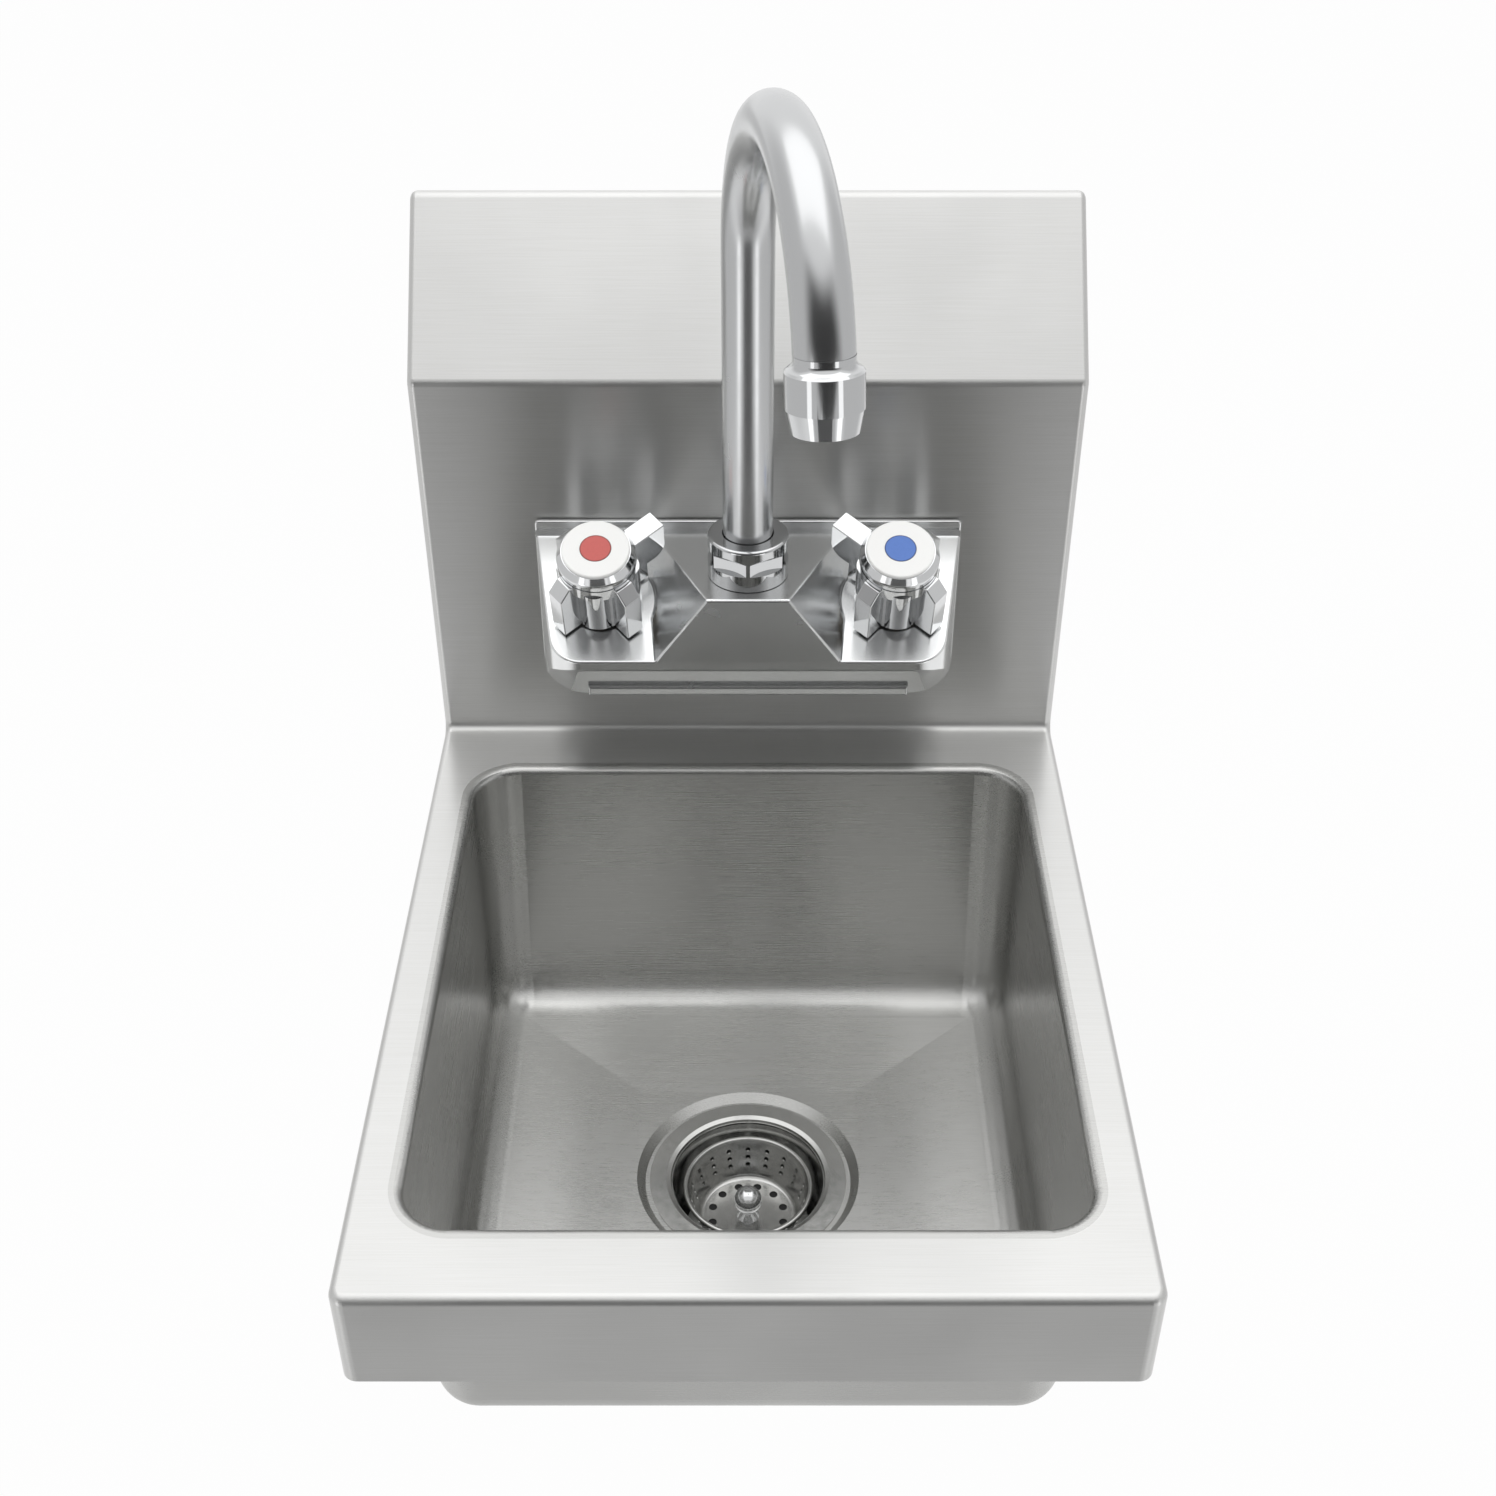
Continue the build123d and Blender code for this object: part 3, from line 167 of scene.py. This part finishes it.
# Bowl. One sheet of the same steel, deep drawn, its rim rolled over and welded
# into the deck and the seam ground away. The inside is finished by hand with a
# finer wheel, so its scratches are shallower and its corners catch tighter lights.
# Its colours are darker than the deck's, as painted shade for the inside of the bowl.
satin_with_painted_shade = scratched_steel("hand_satined_stainless_steel", "#C7C7C5", "#D0D0CE", 0.25, 0.86,
                        0.0000015)
dress(["bowl"], satin_with_painted_shade)

# Wall bracket. A strip of hot-dip galvanised steel with a tongue that the splash
# hooks over. Zinc sets in flat crystals 8 mm across, so it looks like grey flakes
# that shine differently.
CRYSTAL = 0.008
zinc, tree, shader = new_material("hot_dip_galvanised_steel", {"Metallic": 1.0})
crystals = add(tree, "ShaderNodeTexVoronoi", {"Vector": place_in(tree), "Scale": 1 / CRYSTAL})
shine = add(tree, "ShaderNodeSeparateColor", {"Color": crystals.outputs["Color"]}).outputs["Red"]
feed(tree, shader, {"Base Color": blend(tree, shine, "#9DA1A3", "#BFC3C5"),
                    "Roughness": ramp(tree, shine, 0.0, 1.0, 0.34, 0.55)})
dress(["wall_bracket"], zinc)

# Tap casting. Cast brass, ground, buffed and chrome plated, bolted to the splash
# by its two shanks over a foam gasket. Buffing by hand leaves its flats a little
# wavy and hazy, so they mirror softly.

# Haze comes in patches of about 20 mm. The casting waves by 0.01 mm every 16 mm.
HAZE_SCALE = 50.0


def plated(name, code, low, high, wave, depth):
    """Chrome plate with faint wiping haze and a slow waviness of the metal under it."""
    material, tree, shader = new_material(name, {"Metallic": 1.0, "Base Color": linear(code)})
    place = place_in(tree)
    haze = noise(tree, place, HAZE_SCALE, 3.0, Distortion=0.4)
    slow = noise(tree, place, 1 / wave, 1.0)
    feed(tree, shader, {"Roughness": ramp(tree, haze, 0.3, 0.75, low, high),
                        "Normal": bump(tree, slow, 1.0, depth)})
    return material


# Its colour is lighter than the other chrome plate, as painted light that makes the pads shine
# white.
buffed = plated("buffed_chrome_plate_on_cast_brass", "#EDEEEE", 0.21, 0.28, 0.016, 0.00001)
dress(["tap_body"], buffed)

# Foam shows as a matt black line with fine pits of 0.6 mm.
FOAM_SCALE = 1600.0
foam, tree, shader = new_material("closed_cell_foam", {"Roughness": 0.85})
cells = add(tree, "ShaderNodeTexVoronoi",
            {"Vector": place_in(tree), "Scale": FOAM_SCALE}).outputs["Distance"]
feed(tree, shader, {"Base Color": blend(tree, cells, "#1B1B1B", "#333333"),
                    "Normal": bump(tree, cells, 0.4, 0.0002)})
dress(["tap_gasket"], foam)

# Inlet shanks. Brass nipples screwed into the casting, held behind the splash by
# steel washers and brass locknuts. The end that takes the supply nut has a
# rolled thread.
TARNISH_SCALE = 110.0
TOOL_MARK_SCALE = 2500.0


def turned_brass(name, dark, light, roughness):
    """Brass with tarnish in patches of about 9 mm and tool marks of 0.4 mm."""
    material, tree, shader = new_material(name, {"Metallic": 1.0})
    place = place_in(tree)
    patch = ramp(tree, noise(tree, place, TARNISH_SCALE, 4.0), 0.35, 0.65)
    marks = noise(tree, place, TOOL_MARK_SCALE, 1.0)
    feed(tree, shader, {"Base Color": blend(tree, patch, dark, light),
                        "Roughness": ramp(tree, patch, 0.0, 1.0, roughness + 0.12, roughness),
                        "Normal": bump(tree, marks, 0.25, 0.00002)})
    return material


# Machined brass is yellow and bright between its duller tarnished patches.
brass = turned_brass("machined_brass", "#B08A45", "#CFAA62", 0.22)
dress(["hot_shank", "cold_shank", "shank_locknuts"], brass)

# Zinc plate is a bluish grey with a soft cloudy shine.
ZINC_FOG_SCALE = 300.0
screw_steel, tree, shader = new_material("zinc_plated_steel",
                                         {"Metallic": 1.0, "Base Color": linear("#B4B8BB")})
fog = noise(tree, place_in(tree), ZINC_FOG_SCALE)
feed(tree, shader, {"Roughness": ramp(tree, fog, 0.0, 1.0, 0.25, 0.42)})
dress(["shank_washers"], screw_steel)


def new_tree(name, sockets):
    """Tree of geometry nodes that makes a mesh, and the values that it is given."""
    tree = bpy.data.node_groups.new(name, "GeometryNodeTree")
    for socket, kind in sockets:
        tree.interface.new_socket(socket, in_out="INPUT", socket_type="NodeSocket" + kind)
    tree.interface.new_socket("Mesh", in_out="OUTPUT", socket_type="NodeSocketGeometry")
    return tree, add(tree, "NodeGroupInput").outputs


def sweep(tree, curve, sides, radius, metal):
    """Ends a tree with round wire along a curve."""
    ring = add(tree, "GeometryNodeCurvePrimitiveCircle", {"Resolution": sides, "Radius": radius})
    swept = add(tree, "GeometryNodeCurveToMesh",
                {"Curve": curve, "Profile Curve": ring.outputs["Curve"], "Fill Caps": True})
    real = add(tree, "GeometryNodeRealizeInstances", {"Geometry": swept.outputs["Mesh"]})
    clad = add(tree, "GeometryNodeSetMaterial",
               {"Geometry": real.outputs["Geometry"], "Material": metal})
    add(tree, "NodeGroupOutput", {"Mesh": clad.outputs["Geometry"]})


thread_tree, given = new_tree("thread", (("Radius", "Float"), ("Pitch", "Float"),
                                         ("Turns", "Float"), ("Ridge", "Float"),
                                         ("Metal", "Material")))
helix = add(thread_tree, "GeometryNodeCurveSpiral",
            {"Resolution": 40, "Rotations": given["Turns"], "Start Radius": given["Radius"],
             "End Radius": given["Radius"],
             "Height": calc(thread_tree, "MULTIPLY", given["Pitch"], given["Turns"])})
sweep(thread_tree, helix.outputs["Curve"], 4, given["Ridge"], given["Metal"])


def grow(name, tree, values, place, body):
    """Plain mesh made by a tree of geometry nodes, put in its place on a body."""
    seed = bpy.data.objects.new(name + "_seed", bpy.data.meshes.new(name + "_seed"))
    bpy.context.scene.collection.objects.link(seed)
    modifier = seed.modifiers.new("made", "NODES")
    modifier.node_group = tree
    for item in tree.interface.items_tree:
        if item.in_out == "INPUT":
            modifier[item.identifier] = values[item.name]
    bpy.context.view_layer.update()
    grown = seed.evaluated_get(bpy.context.evaluated_depsgraph_get())
    mesh = bpy.data.meshes.new_from_object(grown)
    mesh.transform(place)
    bpy.data.objects.remove(seed)
    piece = bpy.data.objects.new(name, mesh)
    bpy.context.scene.collection.objects.link(piece)
    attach(piece, body)


# The supply thread starts 0.8 mm from the shank's free end. The middle of its
# ridge lies 0.1 mm inside the metal, so that no gap shows under it.
SUPPLY_PITCH = 0.0018
SUPPLY_TURNS = 11.0
SUPPLY_RIDGE = 0.0006
SUPPLY_START = 0.0008
RIDGE_SUNK = 0.0001
for side in ("hot", "cold"):
    low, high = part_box(side + "_shank")
    middle = Vector(((low[0] + high[0]) / 2, high[1] - SUPPLY_START, (low[2] + high[2]) / 2))
    grow(side + "_supply_thread", thread_tree,
         {"Radius": (high[0] - low[0]) / 2 - RIDGE_SUNK, "Pitch": SUPPLY_PITCH,
          "Turns": SUPPLY_TURNS, "Ridge": SUPPLY_RIDGE, "Metal": brass},
         Matrix.Translation(middle) @ Matrix.Rotation(math.radians(90), 4, "X"),
         "sink")

# Valves and stems. Ceramic disc valves in brass bodies, screwed down into the
# casting through its pads on rubber seats. Only a hint shows in the slit below
# each knob. Their brass is a darker copy of the machined brass, as painted shade
# for the slit.
brass_painted_shaded = turned_brass("brass_with_painted_shade", "#75633E", "#8F7A4E", 0.38)
dress(["hot_valve", "cold_valve", "hot_stem", "cold_stem"], brass_painted_shaded)

# Rubber is black with a dusty bloom in patches of about 5 mm.
BLOOM_SCALE = 220.0
rubber, tree, shader = new_material("moulded_black_rubber", {"Roughness": 0.62})
bloom = noise(tree, place_in(tree), BLOOM_SCALE, 3.0)
feed(tree, shader, {"Base Color": blend(tree, bloom, "#141414", "#2A2A2A"),
                    "Normal": bump(tree, bloom, 0.2, 0.0001)})
dress(["valve_seals"], rubber)

# Spout. A brass tube bent into a gooseneck and chromed, which turns in the casting
# on two O-rings. A snap ring and a chromed hexagon nut keep it down. The nut
# mirrors sharply. The tube is plated as drawn, so its lights have soft edges.
mirror = plated("bright_chrome_plate", "#CFD0D1", 0.06, 0.11, 0.030, 0.00002)
dress(["spout_nut", "spout_collar"], mirror)
drawn_tube = plated("chrome_plate_on_drawn_tube", "#CDCECF", 0.22, 0.28, 0.040, 0.00002)
dress(["spout_tube"], drawn_tube)
dress(["spout_orings"], rubber)


def moulded(name, inputs, scale, strength):
    """Plastic with the faint grain of its mould."""
    material, tree, shader = new_material(name, inputs)
    grain = noise(tree, place_in(tree), scale)
    feed(tree, shader, {"Normal": bump(tree, grain, strength, 0.00003)})
    return material


# Acetal is milky and waxy, with a grain of about 1 mm.
ACETAL_GRAIN = 900.0
acetal = moulded("white_acetal", {"Roughness": 0.45, "Base Color": linear("#E4E2DC")},
                 ACETAL_GRAIN, 0.3)
dress(["spout_split_ring"], acetal)

# Aerator. A chromed shell screwed into the collar against a rubber washer. It
# holds a grey plastic flow straightener, matt as moulded, with a woven steel
# screen below it.
dress(["aerator_shell"], mirror)
dress(["aerator_washer"], rubber)
grey_acetal = moulded("grey_acetal", {"Roughness": 0.5, "Base Color": linear("#8C8E90")},
                      ACETAL_GRAIN, 0.3)
dress(["aerator_insert"], grey_acetal)

# The screen has wire 0.28 mm thick every 1 mm, and lies 2.4 mm below the middle of
# the straightener. At rest the spout is turned 10.6 degrees towards +X, and its
# outlet leans 10 degrees outwards from straight down.
SCREEN_R = 0.0090
SCREEN_SPACING = 0.0010
SCREEN_WIRE_R = 0.00014
SCREEN_BELOW = 0.0024
SPOUT_TURN = math.radians(10.6)
OUTLET_LEAN = math.radians(10.0)
screen_tree, given = new_tree("woven_screen", (("Radius", "Float"), ("Spacing", "Float"),
                                               ("Wire", "Float"), ("Metal", "Material")))
span = calc(screen_tree, "MULTIPLY", given["Radius"], 2.0)
count = calc(screen_tree, "DIVIDE", span, given["Spacing"])
mat = add(screen_tree, "GeometryNodeMeshGrid",
          {"Size X": span, "Size Y": span, "Vertices X": count, "Vertices Y": count})
spot = add(screen_tree, "GeometryNodeInputPosition").outputs[0]
reach = add(screen_tree, "ShaderNodeVectorMath", {0: spot}, operation="LENGTH")
past = add(screen_tree, "FunctionNodeCompare",
           {"A": reach.outputs["Value"], "B": given["Radius"]}, operation="GREATER_THAN")
round_mat = add(screen_tree, "GeometryNodeDeleteGeometry",
                {"Geometry": mat.outputs["Mesh"], "Selection": past.outputs["Result"]})
lines = add(screen_tree, "GeometryNodeMeshToCurve", {"Mesh": round_mat.outputs["Geometry"]})
sweep(screen_tree, lines.outputs["Curve"], 5, given["Wire"], given["Metal"])

low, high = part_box("aerator_insert")
flow = Vector((math.sin(OUTLET_LEAN) * math.sin(SPOUT_TURN),
               -math.sin(OUTLET_LEAN) * math.cos(SPOUT_TURN), -math.cos(OUTLET_LEAN)))
middle = (Vector(low) + Vector(high)) / 2 + flow * SCREEN_BELOW
grow("aerator_screen", screen_tree,
     {"Radius": SCREEN_R, "Spacing": SCREEN_SPACING, "Wire": SCREEN_WIRE_R,
      "Metal": screw_steel},
     Matrix.Translation(middle) @ flow.to_track_quat("-Z", "Y").to_matrix().to_4x4(),
     "spout")

# Handles. Fluted zinc castings, chromed, each with one long lobe as its lever,
# held on the stem by a screw under a white cap. The plate mirrors sharply, and
# the small waves of the casting bend what it mirrors.
knob_chrome = plated("bright_chrome_plate_on_zinc", "#E0E1E2", 0.06, 0.11, 0.010, 0.00003)
dress(["hot_handle", "cold_handle"], knob_chrome)
dress(["hot_handle_screw", "cold_handle_screw"], screw_steel)

# The caps are glossy and almost pure white, with flow marks of about 6 mm.
FLOW_MARK_SCALE = 160.0
cap = moulded("white_abs",
              {"Roughness": 0.18, "Base Color": linear("#F4F4F2"), "Coat Weight": 0.3},
              FLOW_MARK_SCALE, 0.2)
dress(["hot_cap", "cold_cap"], cap)

# Index discs. Coloured ABS pressed into the caps, red for hot and blue for cold.
# A thin dark ring painted round each disc is painted shade, the shadow in the gap between disc
# and cap.
INDEX_INK_R = 0.0064
INDEX_R = 0.0070
SPECK_SCALE = 900.0
for side, name, code, shade_and_speck in (("hot", "red_abs", "#CE5F59", "#5A1815"),
                               ("cold", "blue_abs", "#547DCB", "#14244F")):
    low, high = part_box(side + "_index")
    centre = (Vector(low) + Vector(high)) / 2
    ink, tree, shader = new_material(name, {"Roughness": 0.3})
    place = place_in(tree)
    away = add(tree, "ShaderNodeVectorMath", {0: place, 1: centre}, operation="DISTANCE")
    # Painted shade: the disc darkens towards its edge, as the shadow in the gap round it. The
    # specks of the same dark colour are random tone.
    gap_shade = ramp(tree, away.outputs["Value"], INDEX_INK_R, INDEX_R)
    speck = ramp(tree, noise(tree, place, SPECK_SCALE), 0.0, 1.0, 0.0, 0.12)
    feed(tree, shader, {"Base Color": blend(tree, calc(tree, "ADD", gap_shade, speck), code, shade_and_speck)})
    dress([side + "_index"], ink)

# Strainer. Pressed stainless steel, bright but not mirror flat, clamped through
# the bowl by a ribbed locknut over a rubber gasket and a fibre washer. The press
# leaves it mottled in patches of about 4 mm.
MOTTLE_SCALE = 260.0
pressed, tree, shader = new_material("bright_pressed_stainless_steel", {"Metallic": 1.0})
mottle = noise(tree, place_in(tree), MOTTLE_SCALE, 4.0)
feed(tree, shader, {"Base Color": blend(tree, mottle, "#B2B2B0", "#C8C8C6"),
                    "Roughness": ramp(tree, mottle, *NOISE_SPAN, 0.16, 0.26),
                    "Normal": bump(tree, mottle, 0.3, 0.00003)})
dress(["strainer_body", "basket"], pressed)
dress(["strainer_gasket"], rubber)
dress(["strainer_locknut"], brass)

# Fibre board is brown and quite matt, with a felted grain.
FIBRE_SCALE = 700.0
fibre, tree, shader = new_material("pressed_fibre_board", {"Roughness": 0.9})
fibres = noise(tree, place_in(tree), FIBRE_SCALE, 5.0, Roughness=0.8)
feed(tree, shader, {"Base Color": blend(tree, fibres, "#8E7450", "#B79C74")})
dress(["strainer_washer"], fibre)

# Basket. A perforated cup with a chromed post and ball to lift it by, and a
# rubber stopper under it that seals the outlet.
dress(["basket_post"], mirror)
dress(["basket_stopper"], rubber)

# Tailpiece. A flanged length of thin chromed brass tube, hung from the strainer's
# threaded spigot by a chromed slip nut on a white washer. It mirrors sharply.
thin_tube = plated("chrome_plated_tube", "#D0D1D2", 0.07, 0.13, 0.020, 0.00002)
dress(["tailpiece", "tailpiece_nut"], thin_tube)
dress(["tailpiece_washer"], acetal)

SPIGOT_R = 0.023
SPIGOT_PITCH = 0.0022
SPIGOT_TURNS = 4.0
SPIGOT_RIDGE = 0.0007
SPIGOT_START = 0.0122
low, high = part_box("strainer_body")
start = Vector(((low[0] + high[0]) / 2, (low[1] + high[1]) / 2, low[2] + SPIGOT_START))
grow("spigot_thread", thread_tree,
     {"Radius": SPIGOT_R - RIDGE_SUNK, "Pitch": SPIGOT_PITCH, "Turns": SPIGOT_TURNS,
      "Ridge": SPIGOT_RIDGE, "Metal": pressed},
     Matrix.Translation(start), "sink")

# Studio. A sheet of matt pale paper on the floor, one broad softbox overhead, and a
# narrow one low on each side in front. A matt grey card darkens what the metal
# mirrors in front of it.

# The metal mirrors the paper as white, but grey towards the camera and past the
# paper's edges. These are levels of light, and the places where each one turns.
FLOOR_Z = -0.75
FRONT_PAPER = 0.60
ROOM_GREY = 0.68
PAPER_GLOW = 0.96
FRONT_PAPER_Y = (-0.75, -0.1)
SIDE_PAPER_X = (0.45, 0.80)
PAPER_EDGE_X = (1.05, 1.25)


def sheet(name, corners, material):
    """Flat sheet that belongs to the studio."""
    mesh = bpy.data.meshes.new(name)
    mesh.from_pydata(corners, [], [(0, 1, 2, 3)])
    mesh.materials.append(material)
    piece = bpy.data.objects.new(name, mesh)
    bpy.context.scene.collection.objects.link(piece)
    return piece


paper, tree, shader = new_material("matt_white_paper",
                                   {"Base Color": linear("#D8D8D8"), "Roughness": 0.9})
rays = add(tree, "ShaderNodeLightPath").outputs
spot = add(tree, "ShaderNodeSeparateXYZ", {"Vector": place_in(tree)}).outputs
back = ramp(tree, spot["Y"], *FRONT_PAPER_Y, FRONT_PAPER, 1.0)
off = calc(tree, "ABSOLUTE", spot["X"])
beside = ramp(tree, off, *SIDE_PAPER_X)
paper_edge = ramp(tree, off, *PAPER_EDGE_X, 1.0, ROOM_GREY)
level = calc(tree, "MINIMUM", calc(tree, "MAXIMUM", back, beside), paper_edge)
white = add(tree, "ShaderNodeMix", {"Factor": rays["Is Camera Ray"], "A": level, "B": 1.0})
glow = add(tree, "ShaderNodeEmission",
           {"Color": (1, 1, 1, 1), "Strength": white.outputs["Result"]})
direct = calc(tree, "ADD", rays["Is Camera Ray"], rays["Is Glossy Ray"])
seen = calc(tree, "MAXIMUM", direct, rays["Is Transmission Ray"])
both = add(tree, "ShaderNodeMixShader", {0: calc(tree, "MULTIPLY", seen, PAPER_GLOW),
                                         1: shader.outputs["BSDF"],
                                         2: glow.outputs["Emission"]})
feed(tree, tree.nodes["Material Output"], {"Surface": both.outputs["Shader"]})
sheet("floor", [(-6, -6, FLOOR_Z), (6, -6, FLOOR_Z), (6, 8, FLOOR_Z), (-6, 8, FLOOR_Z)], paper)

# The metal mirrors a room that is dark in front, grey at the sides and white
# behind and above. The turns are in parts of a direction, from -1 to 1. Matt
# surfaces are lit by one even level, and the camera sees only white.
ROOM_FRONT = 0.04
ROOM_ABOVE = 0.97
ROOM_DIFFUSE = 0.88
FRONT_ROOM_Y = (-0.75, -0.2)
SIDE_ROOM_X = (0.55, 0.80)
HIGH_ROOM_Z = (0.54, 0.72)
world = bpy.data.worlds.new("studio")
bpy.context.scene.world = world
world.use_nodes = True
tree = world.node_tree
tree.nodes.clear()
rays = add(tree, "ShaderNodeLightPath").outputs
way = add(tree, "ShaderNodeSeparateXYZ",
          {"Vector": add(tree, "ShaderNodeTexCoord").outputs["Generated"]}).outputs
ahead = ramp(tree, way["Y"], *FRONT_ROOM_Y, ROOM_FRONT, 1.0)
above = ramp(tree, way["Z"], *HIGH_ROOM_Z)
beside = ramp(tree, calc(tree, "ABSOLUTE", way["X"]), *SIDE_ROOM_X, 1.0, ROOM_GREY)
wall = add(tree, "ShaderNodeMix",
           {"Factor": above, "A": calc(tree, "MINIMUM", ahead, beside), "B": ROOM_ABOVE})
direct = calc(tree, "MAXIMUM", rays["Is Glossy Ray"], rays["Is Transmission Ray"])
room = add(tree, "ShaderNodeMix",
           {"Factor": direct, "A": ROOM_DIFFUSE, "B": wall.outputs["Result"]})
shown = add(tree, "ShaderNodeMix",
            {"Factor": rays["Is Camera Ray"], "A": room.outputs["Result"], "B": 1.0})
sky = add(tree, "ShaderNodeBackground",
          {"Color": (1, 1, 1, 1), "Strength": shown.outputs["Result"]})
add(tree, "ShaderNodeOutputWorld", {"Surface": sky.outputs["Background"]})


def softbox(name, place, aim, size, power):
    """Rectangular lamp that points at a place."""
    lamp = bpy.data.lights.new(name, "AREA")
    lamp.shape = "RECTANGLE"
    lamp.size, lamp.size_y = size
    lamp.energy = power
    holder = bpy.data.objects.new(name, lamp)
    holder.location = place
    holder.rotation_euler = (Vector(aim) - Vector(place)).to_track_quat("-Z", "Y").to_euler()
    bpy.context.scene.collection.objects.link(holder)


TOP_POWER = 8
STRIP_POWER = 0.6
STRIP_SIZE = (0.3, 0.8)
softbox("top_softbox", (0, 0.1, 1.5), (0, 0.1, 0), (2.4, 1.6), TOP_POWER)
softbox("left_strip", (-0.85, -1.15, -0.35), (0, -0.1, 0.1), STRIP_SIZE, STRIP_POWER)
softbox("right_strip", (0.85, -1.15, -0.35), (0, -0.1, 0.1), STRIP_SIZE, STRIP_POWER)

# The card stands low behind the camera, and is hidden from it in every view.
CARD_X, CARD_Y, CARD_TOP = 0.38, -1.22, -0.1
board = new_material("grey_card", {"Base Color": linear("#6A6A6A"), "Roughness": 0.9})[0]
card = sheet("dark_card", [(-CARD_X, CARD_Y, FLOOR_Z), (CARD_X, CARD_Y, FLOOR_Z),
                           (CARD_X, CARD_Y, CARD_TOP), (-CARD_X, CARD_Y, CARD_TOP)], board)
card.visible_camera = False

# The camera was solved from the edges of the deck and splash in the photograph.
lens = bpy.data.cameras.new("camera")
lens.lens = 47.02
lens.sensor_width = 36.0
camera = bpy.data.objects.new("camera", lens)
camera.location = (0, -0.8611, 0.3650)
camera.rotation_euler = (math.radians(53.3), 0, 0)
bpy.context.scene.collection.objects.link(camera)
bpy.context.scene.camera = camera
bpy.context.scene.view_settings.view_transform = "Standard"
